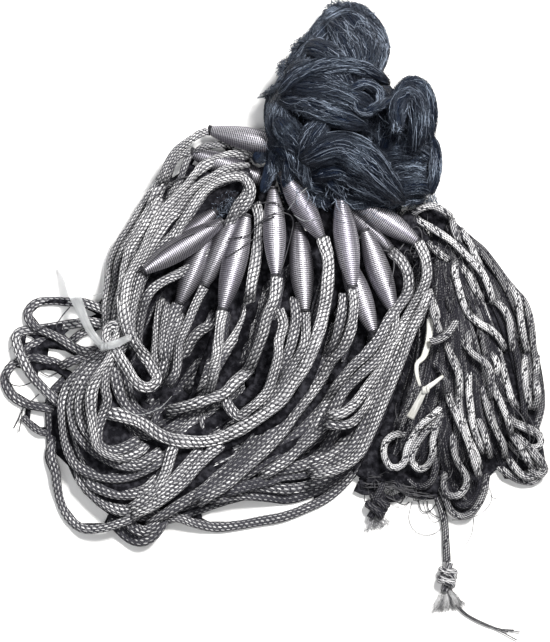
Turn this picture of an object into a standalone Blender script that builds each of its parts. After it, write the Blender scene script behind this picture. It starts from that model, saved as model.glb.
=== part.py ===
"""A set gillnet, gathered up and lying on a flat surface.

The netting is twisted into a hank of fat lobes. Below it the float line lies in long turns, with one
spindle float to a turn, and the lead line lies beside it in many short turns. Two plastic strips tie
the lines. Metres, +Z up. The surface is z = 0, and the hank is at +Y.

Plan places in the tables are in grid steps: x to the right, y towards the viewer, from the sheet's far
left corner. Heights and radii in the tables are in millimetres.
"""

import math

import bmesh
import bpy
from mathutils import Matrix, Vector

# ---------------------------------------------------------------- driving sizes
STEP = 0.00073  # one grid step of the plan
MIDDLE = (274.5, 308.5)  # the plan's middle, which is the part's origin
EYE = (275.0, 321.0, 3.2)  # the plan is drawn as seen from here: two plan places and metres above the floor
MM = 0.001
GAP = 0.0004  # what neighbours keep between them
SINK = 1.5  # how far a bottom turn is pressed flat, mm

FLOAT_LENGTH = 0.0665
FLOAT_RADIUS = 0.0088
FLOAT_END = 0.0026
FLOAT_SIDES = 10


COIL_TRIANGLES = 3300
LEAD_TRIANGLES = 1900
HANK_TRIANGLES = 1500

# ---------------------------------------------------------------- float line coil
# A rail is a line across the bundle. Every turn crosses it between its inner and its outer end.
RAILS = (
    # name       in_x  in_y  out_x out_y  low  high
    ("neck",     (256, 186, 250, 163, 10, 34)),
    ("crown",    (226, 206, 202, 177, 8, 36)),
    ("shoulder", (186, 238, 142, 209, 7, 36)),
    ("flank",    (158, 296, 113, 281, 7, 34)),
    ("waist",    (134, 352, 111, 338, 8, 32)),
    ("belly",    (128, 398, 66, 420, 7, 34)),
    ("foot",     (140, 428, 97, 495, 7, 32)),
    ("keel",     (168, 420, 160, 511, 7, 32)),
    ("sweep",    (196, 392, 262, 482, 7, 38)),
    ("riser",    (212, 348, 355, 446, 7, 44)),
    ("throat",   (224, 300, 391, 362, 7, 42)),
    ("mouth",    (242, 252, 408, 290, 8, 30)),
    ("end",      (262, 221, 407, 247, 9, 22)),
)
TURNS = (
    # name             fan   belly riser layer radius
    ("bottom_outer",   (1.00, 1.00, 1.00, 0.00, 8.5)),
    ("bottom_second",  (0.75, 0.82, 0.83, 0.00, 8.5)),
    ("bottom_third",   (0.50, 0.64, 0.66, 0.00, 8.5)),
    ("bottom_fourth",  (0.25, 0.42, 0.46, 0.00, 8.5)),
    ("bottom_fifth",   (0.00, 0.20, 0.24, 0.00, 8.5)),
    ("bottom_inner",   (0.00, 0.00, 0.02, 0.00, 8.0)),
    ("middle_outer",   (0.90, 0.92, 0.90, 0.48, 7.5)),
    ("middle_second",  (0.60, 0.66, 0.68, 0.52, 7.5)),
    ("middle_third",   (0.32, 0.38, 0.44, 0.52, 7.5)),
    ("middle_inner",   (0.08, 0.12, 0.16, 0.48, 7.5)),
    ("top_outer",      (0.74, 0.78, 0.80, 0.92, 6.5)),
    ("top_middle",     (0.46, 0.52, 0.58, 1.00, 6.5)),
    ("top_inner",      (0.18, 0.26, 0.34, 0.96, 6.5)),
)
# A loop is a length of line that lies loose beside the coil or below it.
LOOPS = (
    # name             radius places (x, y, z)
    ("upper_loop",     (4.2, ((114, 314, 24), (95, 306, 15), (68, 302, 8), (44, 301, 4.5), (30, 309, 3.4), (36, 327, 3.4), (58, 337, 6), (82, 350, 13), (104, 348, 22)))),
    ("middle_loop",    (4.2, ((112, 330, 22), (90, 322, 14), (62, 326, 7), (38, 329, 4), (20, 334, 3.2), (18, 347, 3), (28, 369, 3.4), (42, 387, 4), (66, 407, 8)))),
    ("outer_loop",     (3.9, ((32, 357, 5), (13, 365, 2.9), (6, 380, 2.9), (15, 397, 2.9), (35, 406, 4), (60, 410, 8)))),
    ("inner_loop",     (5.2, ((26, 353, 4.2), (38, 346, 5), (56, 343, 7), (74, 352, 12), (94, 358, 22)))),
    ("inner_run",      (5.2, ((36, 362, 4.4), (56, 368, 8), (76, 380, 14), (92, 388, 20)))),
    ("lower_loop",     (3.6, ((24, 415, 2.8), (36, 427, 2.8), (54, 434, 5)))),
    ("left_hoop",      (4.0, ((56, 420, 9), (50, 438, 6), (49, 457, 4), (58, 482, 2.9), (62, 503, 2.9), (75, 522, 2.9), (92, 526, 2.9), (114, 522, 3.4), (140, 510, 6)))),
    ("low_bulge",      (4.4, ((112, 514, 6), (120, 527, 3.4), (139, 535, 3.2), (155, 529, 3.4), (168, 512, 6)))),
    ("long_bottom",    (4.4, ((160, 500, 8), (176, 519, 4), (222, 525, 3), (272, 519, 3), (324, 500, 3), (350, 477, 5), (364, 448, 9)))),
    ("second_bottom",  (4.8, ((190, 500, 7), (222, 494, 5), (262, 492, 4.4), (298, 491, 4.4), (326, 480, 5), (346, 462, 6), (360, 440, 9)))),
    ("third_bottom",   (5.2, ((210, 482, 8), (246, 480, 6), (282, 476, 5.4), (314, 466, 6), (334, 448, 8), (346, 424, 11)))),
    ("neck_fill",      (4.8, ((256, 166, 6), (262, 182, 5), (263, 202, 6)))),
    ("behind_float",   (3.2, ((238, 151, 14), (219, 145, 12), (202, 148, 10), (190, 161, 8), (174, 184, 9)))),
)
# Low mounds of buried turns carry the coil.
MOUNDS = (
    # name     x    y    long_x long_y high
    ("core",   (206, 352, 80, 104, 15)),
    ("inside", (238, 232, 40, 50, 9)),
)
# A window is a gap that goes right down through the coil.
WINDOWS = (
    # name      x    y    length width turn
    ("low",     (300, 453, 22, 11, 40)),
)

# ---------------------------------------------------------------- floats
# The line leaves a float's head and dips into the coil by way of one more place.
FLOAT_LINES = (
    # name   via_x via_y via_z join_x join_y join_z radius
    ("01",   (180, 148, 32, 152, 203, 22, 3.2)),
    ("02",   (175, 163, 26, 152, 214, 16, 3.2)),
    ("03",   (128, 296, 44, 120, 342, 30, 4.2)),
    ("04",   (208, 348, 48, 186, 410, 22, 4.2)),
    ("05",   (268, 322, 52, 236, 388, 28, 4.2)),
    ("06",   (332, 282, 56, 312, 366, 36, 4.2)),
    ("07",   (298, 350, 48, 262, 412, 28, 4.2)),
    ("08",   (350, 326, 56, 328, 382, 38, 4.2)),
    ("09",   (418, 268, 30, 400, 326, 20, 4.2)),
    ("10",   (388, 340, 50, 352, 404, 34, 4.2)),
    ("11",   (372, 352, 46, 340, 410, 30, 4.2)),
    ("12",   (186, 334, 38, 160, 400, 20, 4.2)),
    ("13",   (156, 340, 32, 150, 392, 18, 4.2)),
    ("14",   (134, 290, 27, 130, 330, 20, 4.2)),
    ("15",   (404, 266, 26, 408, 292, 18, 4.2)),
)
FLOATS = (
    # name   tail_x tail_y tail_z head_x head_y head_z
    ("01",   (297, 150, 30, 208, 130, 34)),
    ("02",   (275, 184, 18, 190, 152, 24)),
    ("03",   (223, 221, 38, 142, 272, 48)),
    ("04",   (247, 214, 44, 222, 311, 58)),
    ("05",   (273, 187, 46, 276, 277, 60)),
    ("06",   (277, 161, 61.4, 322, 239, 66)),
    ("07",   (298, 223, 36, 305, 312, 50)),
    ("08",   (340, 196, 58, 353, 288, 64)),
    ("09",   (348, 195, 40, 419, 243, 34)),
    ("10",   (364, 229, 54, 394, 313, 60)),
    ("11",   (344, 254, 34, 374, 333, 50)),
    ("12",   (239, 208, 17, 204, 286, 40)),
    ("13",   (212, 227, 7.6, 179, 304, 32)),
    ("14",   (217, 210, 22.4, 142, 270, 28)),
    ("15",   (334, 196, 12, 391, 250, 30)),
)

# ---------------------------------------------------------------- lead line coil
# A loop of lead line runs from the head to its foot and back, its two legs a gape apart.
LEAD_LOOPS = (
    # name          head_x head_y foot_x foot_y gape bow low high radius
    ("left_low",     (446, 236, 386, 472, 14, 8, 6, 8, 6.5)),
    ("left_second",  (446, 234, 408, 474, 18, 10, 6, 9, 7.0)),
    ("middle_low",   (444, 232, 430, 484, 18, 8, 6, 9, 7.0)),
    ("middle_third", (443, 230, 456, 494, 18, 4, 6, 9, 7.0)),
    ("right_low",    (443, 228, 478, 498, 18, 2, 6, 9, 7.0)),
    ("right_second", (444, 226, 512, 475, 18, 4, 6, 9, 7.0)),
    ("right_third",  (446, 226, 534, 470, 16, 10, 6, 9, 6.5)),
    ("right_outer",  (446, 226, 537, 404, 12, 16, 6, 9, 6.5)),
    ("dark_low",     (448, 360, 463, 509, 26, 0, 5, 6, 6.0)),
    ("left_top",     (444, 230, 400, 452, 16, 12, 16, 34, 6.5)),
    ("middle_top",   (444, 230, 424, 462, 18, 8, 20, 42, 6.5)),
    ("centre_top",   (444, 228, 458, 470, 18, 4, 20, 44, 6.5)),
    ("right_top",    (444, 228, 492, 450, 18, 6, 18, 38, 6.5)),
    ("outer_top",    (444, 226, 520, 412, 18, 8, 14, 28, 6.5)),
)
LEAD_CORE = dict(x=462, y=374, long_x=56, long_y=98, high=26)
HEAD = (
    # name     x    y    z  radius: the gathered head of the lead line
    ("low",    (417, 220, 9, 6.5)),
    ("left",   (423, 208, 14, 6.5)),
    ("middle", (431, 212, 20, 8.5)),
    ("right",  (439, 219, 16, 9)),
)
# The skirt is dark netting that hangs out below the lead line, between the two coils.
SKIRT = (
    # name      radius places (x, y, z)
    ("edge",    (3.8, ((358, 489, 3.0), (367, 490, 3.2), (378, 484, 4)))),
    ("hem",     (6.2, ((372, 481, 5), (386, 481, 5), (399, 484, 5), (413, 492, 5), (437, 492, 5)))),
    ("side",    (4.4, ((386, 433, 7), (379, 447, 6), (371, 465, 5), (368, 477, 4.6)))),
    ("fold",    (7.0, ((379, 462, 6), (384, 470, 6), (400, 474, 7), (424, 478, 8)))),
)

# ---------------------------------------------------------------- netting hank
# A lobe is a fat bent roll of netting, with its radius at its start, middle and end.
LOBES = (
    # name           start         middle        end           radii
    ("bulb",         ((347, 27, 26), (337, 66, 36), (330, 98, 38), (19, 32, 31))),
    ("bulb_right",   ((365, 38, 26), (363, 60, 32), (350, 96, 34), (17, 20, 24))),
    ("left_edge",    ((299, 68, 26), (296, 94, 28), (294, 121, 26), (13, 17, 20))),
    ("middle",       ((300, 108, 36), (336, 108, 40), (370, 104, 36), (21, 25, 20))),
    ("left_lower",   ((290, 130, 24), (312, 138, 32), (338, 144, 30), (18, 22, 22))),
    ("right_upper",  ((406, 103, 30), (414, 95, 32), (417, 134, 30), (12, 16.6, 16))),
    ("centre",       ((384, 102, 38), (388, 122, 42), (388, 146, 36), (9, 13, 12))),
    ("right_lower",  ((388, 150, 28), (412, 160, 32), (419, 177, 26), (17, 21, 16))),
    ("bottom",       ((326, 148, 32), (362, 160, 36), (392, 180, 28), (18, 21, 13))),
    ("neck_left",    ((286, 146, 18), (285, 172, 14), (290, 200, 10), (12, 10, 8))),
    ("neck_middle",  ((304, 160, 16), (309, 184, 12), (314, 208, 9), (11, 10, 7))),
    ("neck_right",   ((318, 170, 18), (329, 190, 14), (331, 213, 10), (12, 10, 7))),
    ("apron",        ((350, 182, 16), (374, 194, 13), (397, 208, 10), (11, 10, 7))),
)
HANK_CORE = dict(x=350, y=120, long_x=56, long_y=58, high=40)

# ---------------------------------------------------------------- ties and loose ends
# A strip of plastic: its width, its thickness and the places it passes. A tie's second strip is its other end,
# and the two meet in a knot.
STRIPS = (
    # name         width thick  places (x, y, z)
    ("tie_left",   (7.5, 1.4, ((61, 264, 7), (70, 281, 12), (75, 296, 17), (81, 311, 23), (88, 327, 31), (95, 338, 38), (103, 347, 43)))),
    ("tie_right",  (5.6, 1.4, ((430, 319, 44), (429, 338, 46.4), (424, 356, 49), (417, 364, 51), (417, 375, 52), (420, 386, 52)))),
)
TIE_ENDS = (
    # name         width thick knot_radius places (x, y, z)
    ("tie_left",   (6.0, 1.4, 4.2, ((103, 347, 43), (112, 345, 45), (122, 341, 45), (130, 337, 44)))),
    ("tie_right",  (6.4, 1.4, 4.2, ((443, 376, 48), (434, 383, 51), (425, 390, 52), (419, 401, 50), (410, 418, 46)))),
)
# A loose end of line, with its radius and the places it passes.
ENDS = (
    # name                 radius  places (x, y, z)
    ("float_line_bight",   (4.0, ((112, 356, 38), (117, 374, 43), (126, 388, 44), (140, 395, 43), (153, 388, 43), (158, 372, 44), (151, 352, 43), (142, 332, 38)))),
    ("lead_line_tail",     (3.0, ((437, 497, 5.2), (442, 511, 3.8), (445, 526, 3.1), (446, 544, 3.1), (447, 562, 3.1)))),
    ("lead_line_cut_end",  (2.9, ((430, 342, 52.5), (440, 339, 52.5), (449, 332, 51), (456, 321, 48)))),
)
# A knot is a fat round lump, and a tuft is the fluffed end below it.
KNOTS = (
    # name          x    y    z   long wide high turn
    ("tail_knot",   (447, 577, 6.6, 9.4, 7.6, 6.6, 80)),
    ("frayed_knot", (377, 505.5, 6.4, 9.2, 8.8, 6.4, 60)),
)
TUFTS = (
    # name          from_x from_y to_x to_y start_wide end_wide thick
    ("tail_tuft",   (446, 590, 449, 611, 9, 19, 5)),
    ("knot_tuft",   (376, 519.5, 375, 529, 13, 16, 5)),
)

COLOURS = {
    # material name:     red   green blue  roughness metallic
    "float_line_braid": (0.26, 0.26, 0.28, 0.62, 0.0),
    "lead_line_braid":  (0.34, 0.34, 0.36, 0.66, 0.0),
    "monofilament":     (0.015, 0.025, 0.06, 0.38, 0.0),
    "float_cover":      (0.36, 0.36, 0.40, 0.42, 0.0),
    "tie_plastic":      (0.86, 0.86, 0.84, 0.35, 0.0),
}


# ---------------------------------------------------------------- helpers
def spot(x, y, high):
    """A place on the plan, high mm above the floor. What stands higher looks larger from the eye, so it is drawn in."""
    near = 1 - high * MM / EYE[2]
    x, y = EYE[0] + (x - EYE[0]) * near, EYE[1] + (y - EYE[1]) * near
    return Vector(((x - MIDDLE[0]) * STEP, (MIDDLE[1] - y) * STEP, high * MM))


def material(name):
    red, green, blue, rough, metal = COLOURS[name]
    made = bpy.data.materials.get(name) or bpy.data.materials.new(name)
    made.use_nodes = True
    shader = made.node_tree.nodes["Principled BSDF"]
    shader.inputs["Base Color"].default_value = (red, green, blue, 1.0)
    shader.inputs["Roughness"].default_value = rough
    shader.inputs["Metallic"].default_value = metal
    made.diffuse_color = (red, green, blue, 1.0)
    return made


def smooth_route(places, pitch):
    """Points about a pitch apart on a smooth curve through the places."""
    places = [Vector(p) for p in places]
    if len(places) == 2:
        places.insert(1, (places[0] + places[1]) / 2)
    ends = [2 * places[0] - places[1], *places, 2 * places[-1] - places[-2]]
    found = []
    for a, b, c, d in zip(ends, ends[1:], ends[2:], ends[3:]):
        pieces = max(1, round((c - b).length / pitch))
        for k in range(pieces):
            t = k / pieces
            found.append(
                0.5 * (2 * b + (c - a) * t + (2 * a - 5 * b + 4 * c - d) * t**2 + (3 * b - a - 3 * c + d) * t**3)
            )
    return found + [places[-1]]


def longer(points, more):
    """The same points with both ends drawn out a little."""
    first = points[0] + (points[0] - points[1]).normalized() * more
    last = points[-1] + (points[-1] - points[-2]).normalized() * more
    return [first, *points[1:-1], last]


def tube_mesh(name, points, radii, resolution=2):
    """A round tube along the points, as a closed mesh."""
    curve = bpy.data.curves.new(name, "CURVE")
    curve.dimensions = "3D"
    curve.bevel_depth = 1.0
    curve.bevel_resolution = resolution
    curve.use_fill_caps = True
    spline = curve.splines.new("POLY")
    spline.points.add(len(points) - 1)
    for point, place, radius in zip(spline.points, points, radii):
        point.co = (*place, 1.0)
        point.radius = radius
    holder = bpy.data.objects.new(name, curve)
    bpy.context.scene.collection.objects.link(holder)
    bpy.context.view_layer.update()
    mesh = bpy.data.meshes.new_from_object(holder.evaluated_get(bpy.context.evaluated_depsgraph_get()))
    bpy.data.objects.remove(holder)
    weld(mesh)
    return mesh


def weld(mesh):
    work = bmesh.new()
    work.from_mesh(mesh)
    bmesh.ops.remove_doubles(work, verts=work.verts, dist=1e-6)
    bmesh.ops.recalc_face_normals(work, faces=work.faces)
    work.to_mesh(mesh)
    work.free()


def ball_mesh(name, centre, sizes, turn=0.0, across=12, down=8):
    """A ball of three half sizes, turned about the upright."""
    work = bmesh.new()
    bmesh.ops.create_uvsphere(work, u_segments=across, v_segments=down, radius=1.0)
    place = Matrix.Translation(centre) @ Matrix.Rotation(math.radians(turn), 4, "Z") @ Matrix.Diagonal((*sizes, 1.0))
    bmesh.ops.transform(work, matrix=place, verts=work.verts)
    mesh = bpy.data.meshes.new(name)
    work.to_mesh(mesh)
    work.free()
    return mesh


def joined(name, meshes):
    """One mesh that holds them all."""
    work = bmesh.new()
    for mesh in meshes:
        work.from_mesh(mesh)
    whole = bpy.data.meshes.new(name)
    work.to_mesh(whole)
    work.free()
    for mesh in meshes:
        bpy.data.meshes.remove(mesh)
    return whole


def placed(name, mesh, colour=None, cutter=False):
    thing = bpy.data.objects.new(name, mesh)
    (CUTTERS if cutter else PARTS).objects.link(thing)
    if cutter:
        thing.hide_render = True
        thing.display_type = "WIRE"
    else:
        mesh.materials.clear()
        mesh.materials.append(material(colour))
        mesh.shade_smooth()
        mesh.set_sharp_from_angle(angle=math.radians(50))
    return thing


def cut(thing, cutter):
    step = thing.modifiers.new("cut " + cutter.name, "BOOLEAN")
    step.operation = "DIFFERENCE"
    step.solver = "EXACT"
    step.object = cutter


def evaluated(thing):
    """The object's shape with its modifiers, as a new mesh."""
    bpy.context.view_layer.update()
    return bpy.data.meshes.new_from_object(thing.evaluated_get(bpy.context.evaluated_depsgraph_get()))


def largest_shell(mesh):
    """Takes away all but the largest connected shell, so that no buried pocket stays."""
    work = bmesh.new()
    work.from_mesh(mesh)
    shells, seen = [], set()
    for first in work.verts:
        if first in seen:
            continue
        shell, waiting = [], [first]
        seen.add(first)
        while waiting:
            vert = waiting.pop()
            shell.append(vert)
            for edge in vert.link_edges:
                other = edge.other_vert(vert)
                if other not in seen:
                    seen.add(other)
                    waiting.append(other)
        shells.append(shell)
    shells.sort(key=len)
    for shell in shells[:-1]:
        bmesh.ops.delete(work, geom=shell, context="VERTS")
    work.to_mesh(mesh)
    work.free()


def tidied(mesh):
    """Splits the mesh into triangles and closes the slivers that a cut leaves."""
    work = bmesh.new()
    work.from_mesh(mesh)
    bmesh.ops.dissolve_degenerate(work, dist=0.00002, edges=work.edges)
    bmesh.ops.triangulate(work, faces=work.faces)
    work.to_mesh(mesh)
    work.free()


def sound(mesh):
    """Whether every edge joins two faces, also once near points are one, and the mesh is one shell."""
    work = bmesh.new()
    work.from_mesh(mesh)
    good = all(edge.is_manifold for edge in work.edges)
    waiting = [next(iter(work.verts))]
    seen = set(waiting)
    while waiting:
        for edge in waiting.pop().link_edges:
            for vert in edge.verts:
                if vert not in seen:
                    seen.add(vert)
                    waiting.append(vert)
    good = good and len(seen) == len(work.verts)
    bmesh.ops.remove_doubles(work, verts=work.verts, dist=0.000002)
    good = good and all(edge.is_manifold for edge in work.edges)
    work.free()
    return good


def wound(name, meshes, colour, voxel, triangles, cutters):
    """The turns grown into one solid, thinned to about so many triangles, and cut flat at z = 0."""
    thing = placed(name, joined(name, meshes), colour)
    strands = thing.data
    for attempt in range(12):
        thing.modifiers.clear()
        thing.data = strands
        grow = thing.modifiers.new("grow together", "REMESH")
        grow.mode = "VOXEL"
        grow.voxel_size = voxel * (1 + 0.011 * attempt)
        grown = evaluated(thing)
        largest_shell(grown)
        thing.modifiers.clear()
        thing.data = grown
        thin = thing.modifiers.new("thin", "DECIMATE")
        thin.ratio = min(1.0, triangles / sum(len(face.vertices) - 2 for face in grown.polygons))
        for cutter in cutters:
            cut(thing, cutter)
        shape = evaluated(thing)
        tidied(shape)
        if sound(shape):
            break
    thing.modifiers.clear()
    thing.data = shape
    shape.materials.clear()
    shape.materials.append(material(colour))
    shape.shade_smooth()
    shape.set_sharp_from_angle(angle=math.radians(50))
    return thing


def spindle(name, tail, head, grow, colour=None):
    """A spindle float from its tail to its head: a turned profile, fattest in the middle."""
    rows = 7
    half = FLOAT_LENGTH / 2
    mesh = bpy.data.meshes.new(name)
    work = bmesh.new()
    profile = [(0.0, half + grow)]
    for k in range(rows):
        t = 1 - 2 * k / (rows - 1)
        swell = FLOAT_END + (FLOAT_RADIUS - FLOAT_END) * (1 - abs(t) ** 2.1)
        profile.append((swell + grow, t * half + (grow if k == 0 else -grow if k == rows - 1 else 0.0)))
    profile.append((0.0, -half - grow))
    points = [work.verts.new((r, 0.0, z)) for r, z in profile]
    for a, b in zip(points, points[1:]):
        work.edges.new((a, b))
    work.to_mesh(mesh)
    work.free()
    thing = placed(name, mesh, colour, cutter=colour is None)
    turn = thing.modifiers.new("turn", "SCREW")
    turn.steps = turn.render_steps = FLOAT_SIDES
    turn.use_merge_vertices = True
    turn.merge_threshold = 0.00001
    thing.location = (tail + head) / 2
    thing.rotation_euler = (head - tail).to_track_quat("Z", "Y").to_euler()
    return thing


def strip(name, width, thick, places, colour, drawn_out=False):
    """A flat strip that lies along the places: a thin bar with a point every few millimetres, its flat side up."""
    points = smooth_route([spot(*p) for p in places], 0.006)
    if drawn_out:
        points = longer(points, GAP * 1.5)
    ends = []
    work = bmesh.new()
    for k, point in enumerate(points):
        along = points[min(k + 1, len(points) - 1)] - points[max(k - 1, 0)]
        side = along.cross(Vector((0, 0, 1))).normalized()
        up = side.cross(along).normalized()
        taper = 0.55 + 0.45 * min(1.0, k / 3, (len(points) - 1 - k) / 3)
        ring = [
            point + side * (a * width * MM / 2 * taper) + up * (b * thick * MM / 2)
            for a, b in ((-1, 0), (-0.6, 1), (0.6, 1), (1, 0), (0.6, -1), (-0.6, -1))
        ]
        ends.append([work.verts.new(p) for p in ring])
    for one, two in zip(ends, ends[1:]):
        for k in range(6):
            work.faces.new((one[k], one[(k + 1) % 6], two[(k + 1) % 6], two[k]))
    work.faces.new(ends[0][::-1])
    work.faces.new(ends[-1])
    bmesh.ops.recalc_face_normals(work, faces=work.faces)
    mesh = bpy.data.meshes.new(name)
    work.to_mesh(mesh)
    work.free()
    return placed(name, mesh, colour, cutter=colour is None)


def between(row_a, row_b, t):
    return tuple(a + (b - a) * t for a, b in zip(row_a, row_b))


def lift(radius):
    """The lowest height of a turn's middle, so that it is pressed flat."""
    return radius - SINK


# ---------------------------------------------------------------- the scene is cleared
for old in list(bpy.data.objects):
    bpy.data.objects.remove(old)
PARTS = bpy.data.collections.new("fishing_net")
CUTTERS = bpy.data.collections.new("cutters")
for group in (PARTS, CUTTERS):
    bpy.context.scene.collection.children.link(group)

# ---------------------------------------------------------------- cutters
floor_mesh = bpy.data.meshes.new("under_floor")
floor_work = bmesh.new()
bmesh.ops.create_cube(floor_work, size=1.0)
bmesh.ops.transform(
    floor_work, matrix=Matrix.Translation((0, 0, -0.05)) @ Matrix.Diagonal((1.2, 1.2, 0.1, 1.0)), verts=floor_work.verts
)
floor_work.to_mesh(floor_mesh)
floor_work.free()
under_floor = placed("under_floor", floor_mesh, cutter=True)

float_cutters = []
for name, (tail_x, tail_y, tail_z, head_x, head_y, head_z) in FLOATS:
    tail, head = spot(tail_x, tail_y, tail_z), spot(head_x, head_y, head_z)
    spindle("float_" + name, tail, head, 0.0, "float_cover")
    float_cutters.append(spindle("round_float_" + name, tail, head, GAP))

end_cutters = {}
for name, (radius, places) in ENDS:
    points = smooth_route([spot(*p) for p in places], 2.5 * radius * MM)
    mesh = tube_mesh(name, points, [radius * MM] * len(points))
    placed(name, mesh, "float_line_braid" if name.startswith("float") else "lead_line_braid")
    points = longer(points, GAP * 1.5)
    wide = tube_mesh("round_" + name, points, [radius * MM + GAP * 1.4] * len(points))
    end_cutters[name] = placed("round_" + name, wide, cutter=True)

tie_cutters = {}
for name, (width, thick, places) in STRIPS:
    strip(name, width, thick, places, "tie_plastic")
    tie_cutters[name] = [strip("round_" + name, width + 1.2, thick + 1.0, places, None, drawn_out=True)]
for name, (width, thick, radius, places) in TIE_ENDS:
    knot = spot(*places[0 if name == "tie_left" else 2])
    added = [
        strip(name + "_end", width, thick, places, None),
        placed(name + "_knot", ball_mesh(name + "_knot", knot, (radius * MM, radius * MM, radius * 0.8 * MM)), cutter=True),
    ]
    for piece in added:
        join = bpy.data.objects[name].modifiers.new("join " + piece.name, "BOOLEAN")
        join.operation = "UNION"
        join.solver = "EXACT"
        join.object = piece
    wide = radius * MM + GAP * 1.5
    tie_cutters[name] += [
        strip("round_" + name + "_end", width + 1.2, thick + 1.0, places, None, drawn_out=True),
        placed("round_" + name + "_knot", ball_mesh("round_" + name + "_knot", knot, (wide, wide, wide)), cutter=True),
    ]

# ---------------------------------------------------------------- float line coil
meshes = []
for name, (fan, belly, riser, layer, radius) in TURNS:
    places = []
    for k, (_, (in_x, in_y, out_x, out_y, low, high)) in enumerate(RAILS):
        across = fan if k <= 3 else belly if 5 <= k <= 7 else riser if k >= 9 else (fan + belly) / 2 if k == 4 else (belly + riser) / 2
        x, y = between((in_x, in_y), (out_x, out_y), across)
        edge = 1 - abs(2 * across - 1) ** 2.2 * 0.35
        places.append(spot(x, y, max(lift(radius), low + (high - low) * layer * edge)))
    points = smooth_route(places, 0.009)
    meshes.append(tube_mesh(name, points, [radius * MM] * len(points)))
for name, (radius, places) in LOOPS:
    points = smooth_route([spot(*p) for p in places], 0.008)
    meshes.append(tube_mesh(name, points, [radius * MM] * len(points)))
heads = {name: row for name, row in FLOATS}
for name, (via_x, via_y, via_z, join_x, join_y, join_z, radius) in FLOAT_LINES:
    tail_x, tail_y, tail_z, head_x, head_y, head_z = heads[name]
    head = spot(head_x, head_y, head_z)
    along = (head - spot(tail_x, tail_y, tail_z)).normalized()
    places = [head - along * 0.001, head + along * 0.005, spot(via_x, via_y, via_z), spot(join_x, join_y, join_z)]
    points = smooth_route(places, 0.007)
    meshes.append(tube_mesh("line_" + name, points, [radius * MM] * len(points)))
for name, (x, y, long_x, long_y, high) in MOUNDS:
    meshes.append(ball_mesh(name, spot(x, y, 0), (long_x * STEP, long_y * STEP, high * MM), across=24, down=12))
windows = []
for name, (x, y, length, width, turn) in WINDOWS:
    work = bmesh.new()
    bmesh.ops.create_cone(work, cap_ends=True, segments=10, radius1=0.5, radius2=0.5, depth=0.3)
    place = (
        Matrix.Translation(spot(x, y, 0))
        @ Matrix.Rotation(math.radians(turn), 4, "Z")
        @ Matrix.Diagonal((length * STEP, width * STEP, 1.0, 1.0))
    )
    bmesh.ops.transform(work, matrix=place, verts=work.verts)
    mesh = bpy.data.meshes.new("window_" + name)
    work.to_mesh(mesh)
    work.free()
    windows.append(placed("window_" + name, mesh, cutter=True))
wound(
    "float_line_coil",
    meshes,
    "float_line_braid",
    0.0032,
    COIL_TRIANGLES,
    [under_floor, *windows, *float_cutters, end_cutters["float_line_bight"], *tie_cutters["tie_left"]],
)

# ---------------------------------------------------------------- lead line coil
meshes = []
for name, (head_x, head_y, foot_x, foot_y, gape, bow, low, high, radius) in LEAD_LOOPS:
    head, foot = Vector((head_x, head_y)), Vector((foot_x, foot_y))
    run = foot - head
    side = Vector((run.y, -run.x)).normalized()
    places = []
    for t, out, rise in ((0.02, -0.3, 0.3), (0.25, -0.5, 0.8), (0.55, -0.6, 1.0), (0.82, -0.6, 0.7), (1.0, 0.0, 0.0), (0.82, 0.6, 0.7), (0.55, 0.6, 1.0), (0.25, 0.5, 0.8), (0.02, 0.3, 0.3)):
        x, y = head + run * t + side * (gape * out + bow * 4 * t * (1 - t))
        places.append(spot(x, y, max(lift(radius), low + (high - low) * rise)))
    points = smooth_route(places, 0.008)
    meshes.append(tube_mesh(name, points, [radius * MM] * len(points)))
for name, (radius, places) in SKIRT:
    points = smooth_route([spot(*p) for p in places], 0.007)
    meshes.append(tube_mesh(name, points, [radius * MM] * len(points)))
for name, (x, y, z, radius) in HEAD:
    meshes.append(ball_mesh(name, spot(x, y, z), (radius * MM,) * 3))
meshes.append(
    ball_mesh(
        "lead_core",
        spot(LEAD_CORE["x"], LEAD_CORE["y"], 0),
        (LEAD_CORE["long_x"] * STEP, LEAD_CORE["long_y"] * STEP, LEAD_CORE["high"] * MM),
        across=24,
        down=12,
    )
)
wound(
    "lead_line_coil",
    meshes,
    "lead_line_braid",
    0.003,
    LEAD_TRIANGLES,
    [under_floor, *tie_cutters["tie_right"], end_cutters["lead_line_cut_end"], end_cutters["lead_line_tail"]],
)

# ---------------------------------------------------------------- netting hank
meshes = []
for name, (start, middle, end, radii) in LOBES:
    points = smooth_route([spot(*start), spot(*middle), spot(*end)], 0.006)
    swells = smooth_route([Vector((r, 0, 0)) for r in radii], 1e-9 + abs(radii[0]) * 10)
    count = len(points)
    sizes = []
    for k in range(count):
        t = k / (count - 1)
        a, b, c = radii
        sizes.append(max(3.0, a * (1 - t) * (1 - 2 * t) + 4 * b * t * (1 - t) + c * t * (2 * t - 1)))
    meshes.append(tube_mesh(name, points, [size * MM for size in sizes], resolution=3))
    for point, size in ((points[0], sizes[0]), (points[-1], sizes[-1])):
        meshes.append(ball_mesh(name + "_end", point, (size * MM * 0.98,) * 3, across=14, down=10))
meshes.append(
    ball_mesh(
        "hank_core",
        spot(HANK_CORE["x"], HANK_CORE["y"], 0),
        (HANK_CORE["long_x"] * STEP, HANK_CORE["long_y"] * STEP, HANK_CORE["high"] * MM),
        across=24,
        down=12,
    )
)
wound("netting_hank", meshes, "monofilament", 0.003, HANK_TRIANGLES, [under_floor, *float_cutters[:2], *float_cutters[4:9], float_cutters[14]])

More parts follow.
